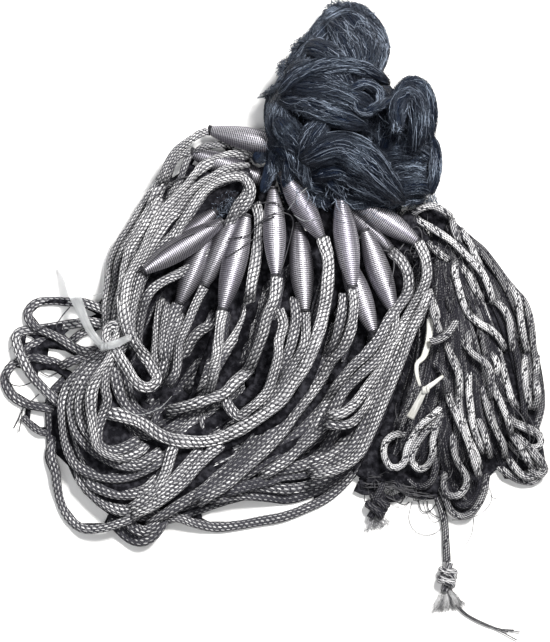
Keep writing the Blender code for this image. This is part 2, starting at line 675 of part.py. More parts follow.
# ---------------------------------------------------------------- knots and tufts
for name, (x, y, z, long, wide, high, turn) in KNOTS:
    thing = placed(name, ball_mesh(name, spot(x, y, z), (long * MM, wide * MM, high * MM), turn, 14, 10), "lead_line_braid")
    cut(thing, under_floor)
for name, (from_x, from_y, to_x, to_y, start_wide, end_wide, thick) in TUFTS:
    start, stop = spot(from_x, from_y, 0), spot(to_x, to_y, 0)
    side = (stop - start).cross(Vector((0, 0, 1))).normalized()
    work = bmesh.new()
    rings = []
    for t, wide, high in ((0, start_wide, thick), (0.4, (start_wide + end_wide) / 2, thick * 0.8), (1, end_wide, thick * 0.45)):
        place = start.lerp(stop, t)
        rings.append(
            [
                work.verts.new(place + side * (a * wide * MM / 2) + Vector((0, 0, b * high * MM)))
                for a, b in ((-1, 0), (-0.8, 0.7), (0, 1), (0.8, 0.7), (1, 0))
            ]
        )
    for one, two in zip(rings, rings[1:]):
        for k in range(5):
            work.faces.new((one[k], one[(k + 1) % 5], two[(k + 1) % 5], two[k]))
    work.faces.new(rings[0][::-1])
    work.faces.new(rings[-1])
    bmesh.ops.recalc_face_normals(work, faces=work.faces)
    mesh = bpy.data.meshes.new(name)
    work.to_mesh(mesh)
    work.free()
    placed(name, mesh, "lead_line_braid")
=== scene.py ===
import math

import bmesh
import bpy
import numpy as np
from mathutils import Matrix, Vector
from mathutils.bvhtree import BVHTree


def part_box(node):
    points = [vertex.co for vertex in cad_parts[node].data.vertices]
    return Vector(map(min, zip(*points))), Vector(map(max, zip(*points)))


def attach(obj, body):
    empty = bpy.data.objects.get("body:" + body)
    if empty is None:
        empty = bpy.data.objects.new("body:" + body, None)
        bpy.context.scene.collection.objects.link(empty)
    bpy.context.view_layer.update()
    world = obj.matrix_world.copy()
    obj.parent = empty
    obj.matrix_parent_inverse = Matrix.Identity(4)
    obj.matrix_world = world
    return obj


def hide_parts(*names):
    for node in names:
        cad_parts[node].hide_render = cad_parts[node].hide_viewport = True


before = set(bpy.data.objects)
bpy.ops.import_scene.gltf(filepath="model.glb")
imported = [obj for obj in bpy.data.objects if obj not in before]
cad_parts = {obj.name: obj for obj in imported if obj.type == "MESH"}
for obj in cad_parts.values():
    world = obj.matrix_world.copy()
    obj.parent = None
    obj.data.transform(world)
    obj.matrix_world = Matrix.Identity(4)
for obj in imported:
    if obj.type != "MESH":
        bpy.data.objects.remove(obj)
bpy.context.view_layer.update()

# ------------------------------------------------------------------ plan
# Routes are given on a plan: x to the right and y towards the viewer, in steps; heights are in millimetres.
STEP = 0.00073
MIDDLE = (274.5, 308.5)
VIEW_AT = (275.0, 321.0)     # the plan's place under the camera
VIEW_HIGH = 3.2              # how far up the camera is, in metres
VIEW_WIDE = (550, 642)       # the picture's width and height, in steps
MM = 0.001


def metres(points):
    """Plan places as x, y in metres."""
    p = np.asarray(points, float)
    return np.stack([(p[:, 0] - MIDDLE[0]) * STEP, (MIDDLE[1] - p[:, 1]) * STEP], 1)


LOOK = metres([VIEW_AT])[0]


def seen(p):
    """Moves places a hair towards the camera's axis, by their height, so that they are seen over their plan place."""
    p = np.array(p, float)
    p[:, :2] = LOOK + (p[:, :2] - LOOK) * (1 - p[:, 2:3] / VIEW_HIGH)
    return p


# ------------------------------------------------------------------ camera, light and floor
def make_stage():
    data = bpy.data.cameras.new("camera")
    cam = bpy.data.objects.new("camera", data)
    bpy.context.scene.collection.objects.link(cam)
    data.sensor_width = 36.0
    data.sensor_fit = "AUTO"
    data.lens = 36.0 * VIEW_HIGH / (VIEW_WIDE[1] * STEP)
    data.clip_start, data.clip_end = 0.05, 30.0
    cam.location = (LOOK[0], LOOK[1], VIEW_HIGH)
    bpy.context.scene.camera = cam
    for name, place, size, power, colour in (
        ("key", (0.55, 0.75, 1.45), 0.45, 62.0, (1.0, 0.985, 0.96)),
        ("fill", (-1.1, 0.3, 1.3), 1.0, 4.0, (0.95, 0.97, 1.0)),
        ("top", (-0.1, -0.3, 2.1), 0.9, 13.0, (1.0, 1.0, 1.0)),
    ):
        lamp = bpy.data.lights.new(name, "AREA")
        lamp.shape = "DISK"
        lamp.size = size
        lamp.energy = power
        lamp.color = colour
        thing = bpy.data.objects.new(name, lamp)
        thing.location = place
        thing.rotation_mode = "QUATERNION"
        thing.rotation_quaternion = (Vector(place) - Vector((0, 0, 0))).to_track_quat("Z", "Y")
        bpy.context.scene.collection.objects.link(thing)
    world = bpy.data.worlds.new("studio")
    world.use_nodes = True
    back = world.node_tree.nodes["Background"]
    back.inputs["Color"].default_value = (1.0, 1.0, 1.0, 1.0)
    back.inputs["Strength"].default_value = 0.17
    bpy.context.scene.world = world
    scene = bpy.context.scene
    scene.view_settings.view_transform = "Standard"
    scene.view_settings.look = "None"
    scene.view_settings.exposure = 0.0
    scene.view_settings.gamma = 1.0
    mesh = bpy.data.meshes.new("floor")
    mesh.from_pydata([(-4, -4, 0), (4, -4, 0), (4, 4, 0), (-4, 4, 0)], [], [(0, 1, 2, 3)])
    floor = bpy.data.objects.new("floor", mesh)
    floor.location.z = -0.0002
    bpy.context.scene.collection.objects.link(floor)
    mat = bpy.data.materials.new("floor_pale")
    mat.use_nodes = True
    shader = mat.node_tree.nodes["Principled BSDF"]
    shader.inputs["Base Color"].default_value = (0.93, 0.93, 0.93, 1)
    shader.inputs["Roughness"].default_value = 0.9
    shader.inputs["Specular IOR Level"].default_value = 0.1
    mesh.materials.append(mat)


# ------------------------------------------------------------------ materials
class Net:
    """A short way to write a material's nodes."""

    def __init__(self, name):
        self.mat = bpy.data.materials.new(name)
        self.mat.use_nodes = True
        self.tree = self.mat.node_tree
        self.shader = self.tree.nodes["Principled BSDF"]
        self.shader.location = (900, 0)

    def new(self, kind, **values):
        node = self.tree.nodes.new(kind)
        for key, value in values.items():
            setattr(node, key, value)
        return node

    def put(self, socket, value):
        if isinstance(value, bpy.types.NodeSocket):
            self.tree.links.new(value, socket)
        else:
            socket.default_value = value

    def math(self, op, a, b=None, c=None, clamp=False):
        node = self.new("ShaderNodeMath", operation=op, use_clamp=clamp)
        for k, value in enumerate((a, b, c)):
            if value is not None:
                self.put(node.inputs[k], value)
        return node.outputs[0]

    def ramp(self, value, low, high, to_low=0.0, to_high=1.0, kind="SMOOTHSTEP"):
        node = self.new("ShaderNodeMapRange", interpolation_type=kind)
        for k, v in enumerate((value, low, high, to_low, to_high)):
            self.put(node.inputs[k], v)
        return node.outputs[0]

    def mix(self, factor, a, b, kind="MIX"):
        node = self.new("ShaderNodeMix", data_type="RGBA", blend_type=kind)
        self.put(node.inputs[0], factor)
        self.put(node.inputs[6], a)
        self.put(node.inputs[7], b)
        return node.outputs[2]

    def join(self, x, y, z=0.0):
        node = self.new("ShaderNodeCombineXYZ")
        for k, v in enumerate((x, y, z)):
            self.put(node.inputs[k], v)
        return node.outputs[0]

    def noise(self, vector, scale, detail=2.0, rough=0.5):
        node = self.new("ShaderNodeTexNoise")
        self.put(node.inputs["Vector"], vector)
        node.inputs["Scale"].default_value = scale
        node.inputs["Detail"].default_value = detail
        node.inputs["Roughness"].default_value = rough
        return node.outputs[0]

    def chance(self, vector):
        node = self.new("ShaderNodeTexWhiteNoise", noise_dimensions="3D")
        self.put(node.inputs["Vector"], vector)
        return node.outputs[0]

    def uv(self):
        node = self.new("ShaderNodeUVMap", uv_map="lay")
        parts = self.new("ShaderNodeSeparateXYZ")
        self.tree.links.new(node.outputs[0], parts.inputs[0])
        return parts.outputs[0], parts.outputs[1]

    def own(self, name):
        return self.new("ShaderNodeAttribute", attribute_name=name, attribute_type="GEOMETRY").outputs["Fac"]

    def place(self):
        return self.new("ShaderNodeTexCoord").outputs["Object"]

    def bump(self, height, deep, strength=1.0):
        node = self.new("ShaderNodeBump")
        node.inputs["Strength"].default_value = strength
        node.inputs["Distance"].default_value = deep
        self.put(node.inputs["Height"], height)
        self.put(self.shader.inputs["Normal"], node.outputs[0])

    def finish(self, colour, rough, specular=0.5, sheen=0.0, **more):
        self.put(self.shader.inputs["Base Color"], colour)
        self.put(self.shader.inputs["Roughness"], rough)
        self.put(self.shader.inputs["Specular IOR Level"], specular)
        if sheen:
            self.shader.inputs["Sheen Weight"].default_value = sheen
            self.shader.inputs["Sheen Roughness"].default_value = 0.45
        for key, value in more.items():
            self.shader.inputs[key.replace("_", " ")].default_value = value
        return self.mat


def braid_cells(net, u, v, rows, slant, size_u, size_v, wander=0.05):
    """Staggered cells of a braid: how far a place is from its cell's middle, and a chance number for the cell."""
    seed = net.own("seed")
    drift = net.noise(net.join(net.math("MULTIPLY", u, 0.35), net.math("MULTIPLY", v, 2.0), net.math("MULTIPLY", seed, 31.0)), 1.0, 1.0)
    across = net.math("ADD", net.math("MULTIPLY", v, float(rows)), net.math("MULTIPLY", net.math("SUBTRACT", drift, 0.5), wander * 8))
    row = net.math("FLOOR", across)
    in_row = net.math("SUBTRACT", net.math("SUBTRACT", across, row), 0.5)
    half = net.math("MULTIPLY", net.math("MODULO", net.math("ABSOLUTE", row), 2.0), 0.5)
    along = net.math("ADD", net.math("ADD", u, half), net.math("MULTIPLY", in_row, slant))
    along = net.math("ADD", along, net.math("MULTIPLY", net.math("SUBTRACT", drift, 0.5), wander * 6))
    cell = net.math("FLOOR", along)
    in_cell = net.math("SUBTRACT", net.math("SUBTRACT", along, cell), 0.5)
    a = net.math("DIVIDE", in_cell, size_u)
    b = net.math("DIVIDE", in_row, size_v)
    a = net.math("POWER", net.math("ABSOLUTE", a), 2.6)
    b = net.math("POWER", net.math("ABSOLUTE", b), 2.2)
    far = net.math("ADD", a, b)
    luck = net.chance(net.join(row, cell, net.math("MULTIPLY", seed, 97.0)))
    return far, luck, row, cell, in_row, in_cell


def make_float_line():
    net = Net("float_line_braid_dashes")
    u, v = net.uv()
    cover_and_shade = net.own("cover_and_shade")
    # a low cover number shrinks and dims the dashes and greys: the white yarns' real cover, and painted shade on
    # strands that lie deep
    size_u = net.ramp(cover_and_shade, 0.0, 1.3, 0.22, 0.47, "LINEAR")
    size_v = net.ramp(cover_and_shade, 0.0, 1.3, 0.18, 0.41, "LINEAR")
    far, luck, row, cell, in_row, in_cell = braid_cells(net, u, v, 10, 0.55, size_u, size_v)
    mask = net.ramp(far, 1.25, 0.6)
    strength = net.math("MULTIPLY", net.ramp(luck, 0.0, 1.0, 0.62, 1.0, "LINEAR"), net.ramp(cover_and_shade, 0.0, 0.5, 0.22, 1.0, "LINEAR"))
    light = net.mix(luck, (0.60, 0.60, 0.62, 1), (0.95, 0.95, 0.96, 1))
    # the dark yarns show short grey fibres that run across the dashes
    fibre = net.noise(net.join(net.math("MULTIPLY", u, 9.0), net.math("MULTIPLY", v, 46.0), net.own("seed")), 1.0, 2.0)
    dark = net.mix(net.ramp(fibre, 0.45, 0.75), (0.015, 0.015, 0.020, 1), (0.115, 0.115, 0.13, 1))
    # grey yarns show between the dashes
    between = net.noise(net.join(net.math("MULTIPLY", u, 5.0), net.math("MULTIPLY", v, 26.0), net.math("ADD", net.own("seed"), 3.0)), 1.0, 1.0)
    grey = net.math("MULTIPLY", net.ramp(between, 0.50, 0.62), net.ramp(cover_and_shade, 0.15, 0.9, 0.0, 0.75, "LINEAR"))
    dark = net.mix(grey, dark, (0.34, 0.34, 0.355, 1))
    colour = net.mix(net.math("MULTIPLY", mask, strength), dark, light)
    cloud = net.noise(net.place(), 38.0, 2.0)
    colour = net.mix(net.ramp(cloud, 0.35, 0.75, 0.0, 0.35), colour, (0.05, 0.05, 0.06, 1))
    dome = net.math("MULTIPLY", mask, net.math("SUBTRACT", 1.3, net.math("MINIMUM", far, 1.0)))
    high = net.math("ADD", dome, net.math("MULTIPLY", fibre, 0.35))
    net.bump(high, 0.0007, 0.9)
    return net.finish(colour, net.ramp(mask, 0.0, 1.0, 0.75, 0.48, "LINEAR"), net.ramp(mask, 0.0, 1.0, 0.08, 0.35, "LINEAR"), sheen=0.03)


def make_lead_line():
    net = Net("lead_line_braid_tracer")
    u, v = net.uv()
    cover_and_shade = net.own("cover_and_shade")
    size_u = net.ramp(cover_and_shade, 0.0, 0.9, 0.30, 0.47, "LINEAR")
    size_v = net.ramp(cover_and_shade, 0.0, 0.9, 0.22, 0.42, "LINEAR")
    far, luck, row, cell, in_row, in_cell = braid_cells(net, u, v, 10, 0.8, size_u, size_v, wander=0.03)
    mask = net.ramp(far, 1.5, 0.5)
    light = net.mix(luck, (0.50, 0.50, 0.52, 1), (0.93, 0.93, 0.94, 1))
    colour = net.mix(mask, (0.022, 0.022, 0.028, 1), light)
    # two dark yarns run round the line and surface as pairs of flecks
    turn = net.math("FRACT", net.math("ADD", net.math("ADD", net.math("MULTIPLY", u, 0.11), net.math("MULTIPLY", v, 2.0)), net.math("MULTIPLY", net.own("seed"), 7.0)))
    near = net.math("LESS_THAN", net.math("ABSOLUTE", net.math("SUBTRACT", turn, 0.5)), 0.15)
    odd = net.math("LESS_THAN", net.math("MODULO", net.math("ADD", net.math("ABSOLUTE", row), net.math("ABSOLUTE", cell)), 2.0), 0.5)
    black = net.math("MULTIPLY", near, odd)
    colour = net.mix(net.math("MULTIPLY", black, net.ramp(far, 2.2, 0.9)), colour, (0.012, 0.012, 0.016, 1))
    cloud = net.noise(net.place(), 60.0, 2.0)
    colour = net.mix(net.ramp(cloud, 0.40, 0.72, 0.0, 0.35), colour, (0.06, 0.06, 0.075, 1))
    # painted shade: a low cover number darkens the line towards near-black, on the buried and lower turns
    colour = net.mix(net.ramp(cover_and_shade, 0.05, 0.80, 0.95, 0.0, "LINEAR"), colour, (0.012, 0.012, 0.016, 1))
    dome = net.math("MULTIPLY", mask, net.math("SUBTRACT", 1.3, net.math("MINIMUM", far, 1.0)))
    net.bump(dome, 0.0004, 0.8)
    return net.finish(colour, 0.6, net.ramp(cover_and_shade, 0.1, 0.7, 0.03, 0.32, "LINEAR"), sheen=0.02)


def make_float_cover():
    net = Net("float_cover_ribs")
    u, v = net.uv()
    # fine ribs run round the float, and long yarns cross them; the knit is a shiny one
    seed = net.own("seed")
    rib = net.math("SINE", net.math("MULTIPLY", u, 2 * math.pi))
    yarn = net.math("SINE", net.math("MULTIPLY", v, 2 * math.pi * 30))
    rough = net.noise(net.join(net.math("MULTIPLY", u, 1.3), net.math("MULTIPLY", v, 50.0), seed), 1.0, 2.0)
    # the colour follows the ribs and roughness of the bump, darker in the low places: partly the knit's own two tones,
    # partly painted shade in the rib valleys
    tone = net.math("ADD", net.math("MULTIPLY", rib, 0.42), net.math("MULTIPLY", yarn, 0.14))
    tone = net.math("ADD", tone, net.math("MULTIPLY", net.math("SUBTRACT", rough, 0.5), 0.9))
    colour = net.mix(net.ramp(tone, -0.50, 0.42, 0.0, 1.0), (0.060, 0.056, 0.074, 1), (0.66, 0.65, 0.70, 1))
    # here and there a lengthwise row of stitches lies deeper; its rib valleys are painted near-black, painted shade
    row = net.math("FRACT", net.math("ADD", net.math("MULTIPLY", v, 6.0), net.math("MULTIPLY", seed, 5.0)))
    row = net.math("LESS_THAN", net.math("ABSOLUTE", net.math("SUBTRACT", row, 0.5)), 0.10)
    stitch = net.math("MULTIPLY", row, net.ramp(rib, 0.1, -0.5))
    colour = net.mix(net.math("MULTIPLY", stitch, 0.85), colour, (0.012, 0.010, 0.018, 1))
    band = net.noise(net.join(net.math("MULTIPLY", u, 0.02), net.math("MULTIPLY", v, 9.0), net.math("MULTIPLY", seed, 13.0)), 1.0, 1.0)
    colour = net.mix(net.ramp(band, 0.42, 0.62, 0.0, 0.55), colour, (0.12, 0.11, 0.15, 1))
    # floats that lie deep or under others are painted darker: painted shade
    colour = net.mix(net.ramp(net.own("cover_and_shade"), 0.0, 1.0, 0.80, 0.0, "LINEAR"), colour, (0.035, 0.034, 0.040, 1))
    net.bump(net.math("ADD", net.math("MULTIPLY", rib, 0.5), net.math("MULTIPLY", rough, 0.5)), 0.00022, 0.6)
    return net.finish(colour, 0.44, 0.6, Metallic=0.80)


def make_thread(name, colour, rough, other, tint_=(1.0, 1.0, 1.0, 1)):
    net = Net(name)
    u, v = net.uv()
    strand = net.noise(net.join(net.math("MULTIPLY", u, 3.0), net.math("MULTIPLY", v, 8.0), net.own("seed")), 1.0, 2.0)
    # the seed number sets the tint between the two colours; on the hank's filaments a high seed is a painted highlight
    tint = net.mix(net.ramp(net.own("seed"), 0.0, 1.0, 0.0, 1.0, "LINEAR"), colour, other)
    tint = net.mix(net.ramp(strand, 0.35, 0.7, 0.0, 0.4), tint, (0.01, 0.01, 0.014, 1))
    net.bump(strand, 0.0001, 0.5)
    return net.finish(tint, rough, net.ramp(net.own("seed"), 0.0, 0.5, 0.22, 0.65, "LINEAR"), Specular_Tint=tint_)


def make_core():
    net = Net("painted_shade_and_dark_netting")
    # near-black: painted shade for the depth between the coil's strands; the skirt's dark netting also uses it
    wave = net.noise(net.place(), 240.0, 3.0)
    streak = net.noise(net.place(), 900.0, 2.0)
    colour = net.mix(net.ramp(wave, 0.4, 0.7), (0.006, 0.006, 0.008, 1), (0.028, 0.028, 0.034, 1))
    net.bump(net.math("ADD", wave, net.math("MULTIPLY", streak, 0.4)), 0.002, 0.8)
    return net.finish(colour, 0.9, 0.05)


def make_netting():
    net = Net("netting_body_navy")
    u, v = net.uv()
    seed = net.own("seed")
    flow = net.noise(net.join(net.math("MULTIPLY", u, 3.0), net.math("MULTIPLY", v, 110.0), net.math("MULTIPLY", seed, 41.0)), 1.0, 3.0, 0.6)
    broad = net.noise(net.join(net.math("MULTIPLY", u, 0.8), net.math("MULTIPLY", v, 14.0), net.math("MULTIPLY", seed, 17.0)), 1.0, 2.0)
    colour = net.mix(net.ramp(flow, 0.40, 0.66), (0.002, 0.003, 0.008, 1), (0.028, 0.042, 0.076, 1))
    colour = net.mix(net.ramp(broad, 0.35, 0.65, 0.0, 0.55), colour, (0.003, 0.005, 0.012, 1))
    net.bump(net.math("ADD", flow, net.math("MULTIPLY", broad, 1.5)), 0.0018, 1.0)
    return net.finish(colour, 0.5, 0.2, Specular_Tint=(0.45, 0.62, 1.0, 1))


def make_netting_core():
    """The depth of the hank: filaments too deep to be told apart."""
    net = Net("netting_depth_navy")
    streak = net.noise(net.place(), 700.0, 3.0, 0.7)
    broad = net.noise(net.place(), 120.0, 2.0)
    colour = net.mix(net.ramp(streak, 0.45, 0.70), (0.002, 0.003, 0.007, 1), (0.020, 0.030, 0.052, 1))
    net.bump(net.math("ADD", streak, broad), 0.002, 1.0)
    return net.finish(colour, 0.75, 0.15)


def make_film():
    net = Net("tie_film_milky")
    u, v = net.uv()
    streak = net.noise(net.join(net.math("MULTIPLY", u, 0.6), net.math("MULTIPLY", v, 22.0), net.own("seed")), 1.0, 3.0)
    colour = net.mix(net.ramp(streak, 0.3, 0.7), (0.72, 0.74, 0.76, 1), (0.95, 0.96, 0.97, 1))
    net.bump(streak, 0.0006, 0.7)
    return net.finish(colour, 0.28, 0.5, Transmission_Weight=0.80, IOR=1.18)


def make_plastic():
    net = Net("tie_plastic_streaked")
    u, v = net.uv()
    streak = net.noise(net.join(net.math("MULTIPLY", u, 0.5), net.math("MULTIPLY", v, 26.0), net.own("seed")), 1.0, 3.0)
    cloud = net.noise(net.place(), 90.0, 2.0)
    colour = net.mix(net.ramp(streak, 0.3, 0.7), (0.36, 0.36, 0.34, 1), (0.62, 0.62, 0.60, 1))
    colour = net.mix(net.ramp(cloud, 0.45, 0.8, 0.0, 0.4), colour, (0.40, 0.38, 0.32, 1))
    net.bump(net.math("ADD", streak, cloud), 0.0006, 0.7)
    return net.finish(colour, 0.30, 0.5, Transmission_Weight=0.12)


# ------------------------------------------------------------------ mesh helpers
def curve_through(points, pitch):
    """Places about a pitch apart on a smooth curve through the points, for points of any size."""
    p = np.asarray(points, float)
    if len(p) == 2:
        p = np.stack([p[0], (p[0] + p[1]) / 2, p[1]])
    q = np.vstack([2 * p[0] - p[1], p, 2 * p[-1] - p[-2]])
    a, b, c, d = q[:-3], q[1:-2], q[2:-1], q[3:]
    t = np.linspace(0, 1, 16, endpoint=False)[:, None, None]
    fine = 0.5 * (2 * b + (c - a) * t + (2 * a - 5 * b + 4 * c - d) * t**2 + (3 * b - a - 3 * c + d) * t**3)
    fine = np.vstack([fine.transpose(1, 0, 2).reshape(-1, p.shape[1]), p[-1:]])
    gone = np.concatenate([[0], np.cumsum(np.linalg.norm(np.diff(fine[:, :2], axis=0), axis=1))])
    count = max(3, int(round(gone[-1] / pitch)) + 1)
    at = np.linspace(0, gone[-1], count)
    return np.stack([np.interp(at, gone, fine[:, k]) for k in range(p.shape[1])], 1), at


def blur(values, sigma):
    """A soft running mean."""
    if sigma <= 0 or len(values) < 3:
        return values
    reach = int(math.ceil(3 * sigma))
    kernel = np.exp(-0.5 * (np.arange(-reach, reach + 1) / sigma) ** 2)
    kernel /= kernel.sum()
    padded = np.concatenate([np.full(reach, values[0]), values, np.full(reach, values[-1])])
    return np.convolve(padded, kernel, "valid")


class Pile:
    """Many tubes gathered into one mesh."""

    def __init__(self, name, material, slot, smooth=True):
        self.name, self.material, self.slot = name, material, slot
        self.verts, self.loops, self.sizes, self.uvs, self.seed, self.cover_and_shade = [], [], [], [], [], []
        self.count = 0

    def tube(self, path, wide, high, roll=0.0, sides=8, seed=0.5, cover_and_shade=0.5, u=None, box=1.0, groove=0.0, up=None):
        """A tube with an oval section, wide and high its half sizes in metres at each place of the path."""
        path = np.asarray(path, float)
        n = len(path)
        wide = np.broadcast_to(np.asarray(wide, float), (n,))
        high = np.broadcast_to(np.asarray(high, float), (n,))
        roll = np.broadcast_to(np.asarray(roll, float), (n,))
        ahead = np.gradient(path, axis=0)
        ahead /= np.linalg.norm(ahead, axis=1, keepdims=True) + 1e-12
        upward = np.broadcast_to(np.array([0.0, 0.0, 1.0]) if up is None else np.asarray(up, float), (n, 3))
        side = np.cross(ahead, upward)
        side /= np.linalg.norm(side, axis=1, keepdims=True) + 1e-12
        top = np.cross(side, ahead)
        c, s = np.cos(roll)[:, None], np.sin(roll)[:, None]
        side, top = side * c + top * s, top * c - side * s
        angle = np.arange(sides) * 2 * math.pi / sides
        cx, cy = np.cos(angle), np.sin(angle)
        if box != 1.0:
            cx, cy = np.sign(cx) * np.abs(cx) ** box, np.sign(cy) * np.abs(cy) ** box
        if groove:
            cy = cy * (1 - groove * np.exp(-((cx / 0.32) ** 2)))
        ring = (
            path[:, None, :]
            + side[:, None, :] * (wide[:, None] * cx)[:, :, None]
            + top[:, None, :] * (high[:, None] * cy)[:, :, None]
        )
        self.rings(ring, seed, cover_and_shade, u)
        return ring

    def rings(self, ring, seed=0.5, cover_and_shade=0.5, u=None):
        """Joins rings of places into a closed skin."""
        n, sides = ring.shape[:2]
        if u is None:
            middle = ring.mean(1)
            u = np.concatenate([[0], np.cumsum(np.linalg.norm(np.diff(middle, axis=0), axis=1))]) / 0.005
        base = self.count
        self.verts.append(ring.reshape(-1, 3))
        i, j = np.meshgrid(np.arange(n - 1), np.arange(sides), indexing="ij")
        k = (j + 1) % sides
        quads = np.stack([i * sides + j, i * sides + k, (i + 1) * sides + k, (i + 1) * sides + j], -1).reshape(-1, 4)[:, ::-1] + base
        vj, vk = j / sides, (j + 1) / sides
        ui, un = u[i], u[i + 1]
        uv = np.stack([np.stack([ui, vj], -1), np.stack([ui, vk], -1), np.stack([un, vk], -1), np.stack([un, vj], -1)], -2)
        uv = uv.reshape(-1, 4, 2)[:, ::-1]
        self.loops.append(quads.ravel())
        self.sizes.append(np.full(len(quads), 4))
        self.uvs.append(uv.reshape(-1, 2))
        for first, flip in ((0, False), ((n - 1) * sides, True)):
            cap = np.arange(sides) + first + base
            ucap = np.stack([np.full(sides, u[0] if not flip else u[-1]), np.arange(sides) / sides], 1)
            if flip:
                cap, ucap = cap[::-1], ucap[::-1]
            self.loops.append(cap)
            self.sizes.append(np.array([sides]))
            self.uvs.append(ucap)
        self.seed.append(np.full(n * sides, seed))
        self.cover_and_shade.append(np.broadcast_to(np.repeat(np.broadcast_to(cover_and_shade, (n,)), sides), (n * sides,)))
        self.count += n * sides

    def triangles(self):
        return int(sum((np.maximum(s, 3) - 2).sum() for s in self.sizes))

    def build(self, replaces=(), body="root"):
        verts = seen(np.vstack(self.verts))
        verts[:, 2] = np.maximum(verts[:, 2], 0.0)
        loops = np.concatenate(self.loops).astype(np.int32)
        sizes = np.concatenate(self.sizes).astype(np.int32)
        mesh = bpy.data.meshes.new(self.name)
        mesh.vertices.add(len(verts))
        mesh.vertices.foreach_set("co", verts.astype(np.float32).ravel())
        mesh.loops.add(len(loops))
        mesh.loops.foreach_set("vertex_index", loops)
        mesh.polygons.add(len(sizes))
        mesh.polygons.foreach_set("loop_start", np.concatenate([[0], np.cumsum(sizes)[:-1]]).astype(np.int32))
        mesh.polygons.foreach_set("loop_total", sizes)
        layer = mesh.uv_layers.new(name="lay")
        layer.data.foreach_set("uv", np.concatenate(self.uvs).astype(np.float32).ravel())
        for name, values in (("seed", self.seed), ("cover_and_shade", self.cover_and_shade)):
            held = mesh.attributes.new(name, "FLOAT", "POINT")
            held.data.foreach_set("value", np.concatenate(values).astype(np.float32))
        mesh.update(calc_edges=True)
        mesh.shade_smooth()
        mesh.materials.append(self.material)
        thing = bpy.data.objects.new(self.name, mesh)
        bpy.context.scene.collection.objects.link(thing)
        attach(thing, body)
        for node in replaces:
            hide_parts(node)
        print("piece", self.name, self.triangles())
        return thing


# ------------------------------------------------------------------ bed: how high the pile is
class Bed:
    """A grid of heights in millimetres, a cell a millimetre, that strands are laid on one after the other."""

    def __init__(self):
        self.x0, self.y0 = -220.0, -255.0
        self.nx, self.ny = 440, 500
        self.high = np.zeros((self.ny, self.nx))
        self.plates = {}

    def plate(self, wide, high):
        key = (round(wide, 2), round(high, 2))
        if key not in self.plates:
            reach = int(math.ceil(wide))
            dx, dy = np.meshgrid(np.arange(-reach, reach + 1), np.arange(-reach, reach + 1))
            far = np.hypot(dx, dy) / wide
            keep = far < 1.0
            self.plates[key] = dx[keep], dy[keep], high * np.sqrt(1 - far[keep] ** 2), far[keep]
        return self.plates[key]

    def cells(self, xy, dx, dy):
        i = np.clip(np.rint(xy[:, 0] * 1000 - self.x0).astype(int)[:, None] + dx, 0, self.nx - 1)
        j = np.clip(np.rint(xy[:, 1] * 1000 - self.y0).astype(int)[:, None] + dy, 0, self.ny - 1)
        return j, i

    def needs(self, xy, wide, high):
        """How high the middle of a strand has to be at each place to lie on the pile."""
        dx, dy, dome, far = self.plate(wide * 0.82, high * 0.9)
        j, i = self.cells(xy, dx, dy)
        return (self.high[j, i] + dome).max(1)

    def lean(self, xy, ahead, wide):
        """How much higher the pile is on the right of a strand than on its left."""
        right = np.stack([ahead[:, 1], -ahead[:, 0]], 1)
        zero = np.zeros(1, int)
        found = []
        for sign in (1, -1):
            total = 0
            for part in (0.55, 0.9):
                j, i = self.cells(xy + right * sign * wide * part * 0.001, zero, zero)
                total = total + self.high[j, i][:, 0]
            found.append(total / 2)
        return found[0] - found[1]

    def stamp(self, xy, z, wide, high):
        dx, dy, dome, far = self.plate(wide, high)
        j, i = self.cells(xy, dx, dy)
        np.maximum.at(self.high, (j, i), z[:, None] + dome)

    def at(self, xy):
        zero = np.zeros(1, int)
        j, i = self.cells(xy, zero, zero)
        return self.high[j, i][:, 0]


BED = Bed()


def grid_at(grid, xy):
    """A grid's values at places, blended between its cells."""
    x = np.clip(xy[:, 0] * 1000 - BED.x0, 0, BED.nx - 1.001)
    y = np.clip(xy[:, 1] * 1000 - BED.y0, 0, BED.ny - 1.001)
    i, j = x.astype(int), y.astype(int)
    a, b = x - i, y - j
    return (grid[j, i] * (1 - a) + grid[j, i + 1] * a) * (1 - b) + (grid[j + 1, i] * (1 - a) + grid[j + 1, i + 1] * a) * b


def drape(need, pitch, bend):
    """Heights along a strand that stay above the needed ones and bend no tighter than it can."""
    reach = int(45 / pitch)
    best = need.copy()
    for k in range(1, reach + 1):
        drop = (k * pitch) ** 2 / (2 * bend)
        if drop > 40:
            break
        best[k:] = np.maximum(best[k:], need[:-k] - drop)
        best[:-k] = np.maximum(best[:-k], need[k:] - drop)
    return best


def lay(points, wide, high, bend=45.0, pitch=1.5, start=None, end=None, sink=0.5, soft=2.5, stamp=True, cap=None):
    """Lays a strand along plan points; gives its path in metres, the pile's lean and how far along each place is, in mm."""
    xy, at = curve_through(metres(points), pitch * 0.001)
    need = BED.needs(xy, wide, high) - sink
    if start is not None:
        need[0] = max(need[0], start)
    if end is not None:
        need[-1] = max(need[-1], end)
    z = drape(need, pitch, bend)
    z = np.maximum(blur(z, soft / pitch), need - 1.2)
    z = blur(z, 1.2)
    if cap is not None:
        z = np.minimum(z, np.maximum(grid_at(cap, xy), 0.8 * high))
    ahead = np.gradient(xy, axis=0)
    ahead /= np.linalg.norm(ahead, axis=1, keepdims=True) + 1e-12
    lean = BED.lean(xy, ahead, wide)
    if stamp:
        BED.stamp(xy, z - 0.3, wide, high)
    return np.column_stack([xy, z * MM]), lean, at * 1000


# ------------------------------------------------------------------ the CAD shapes under the looks
COILS = ("float_line_coil", "lead_line_coil", "netting_hank")


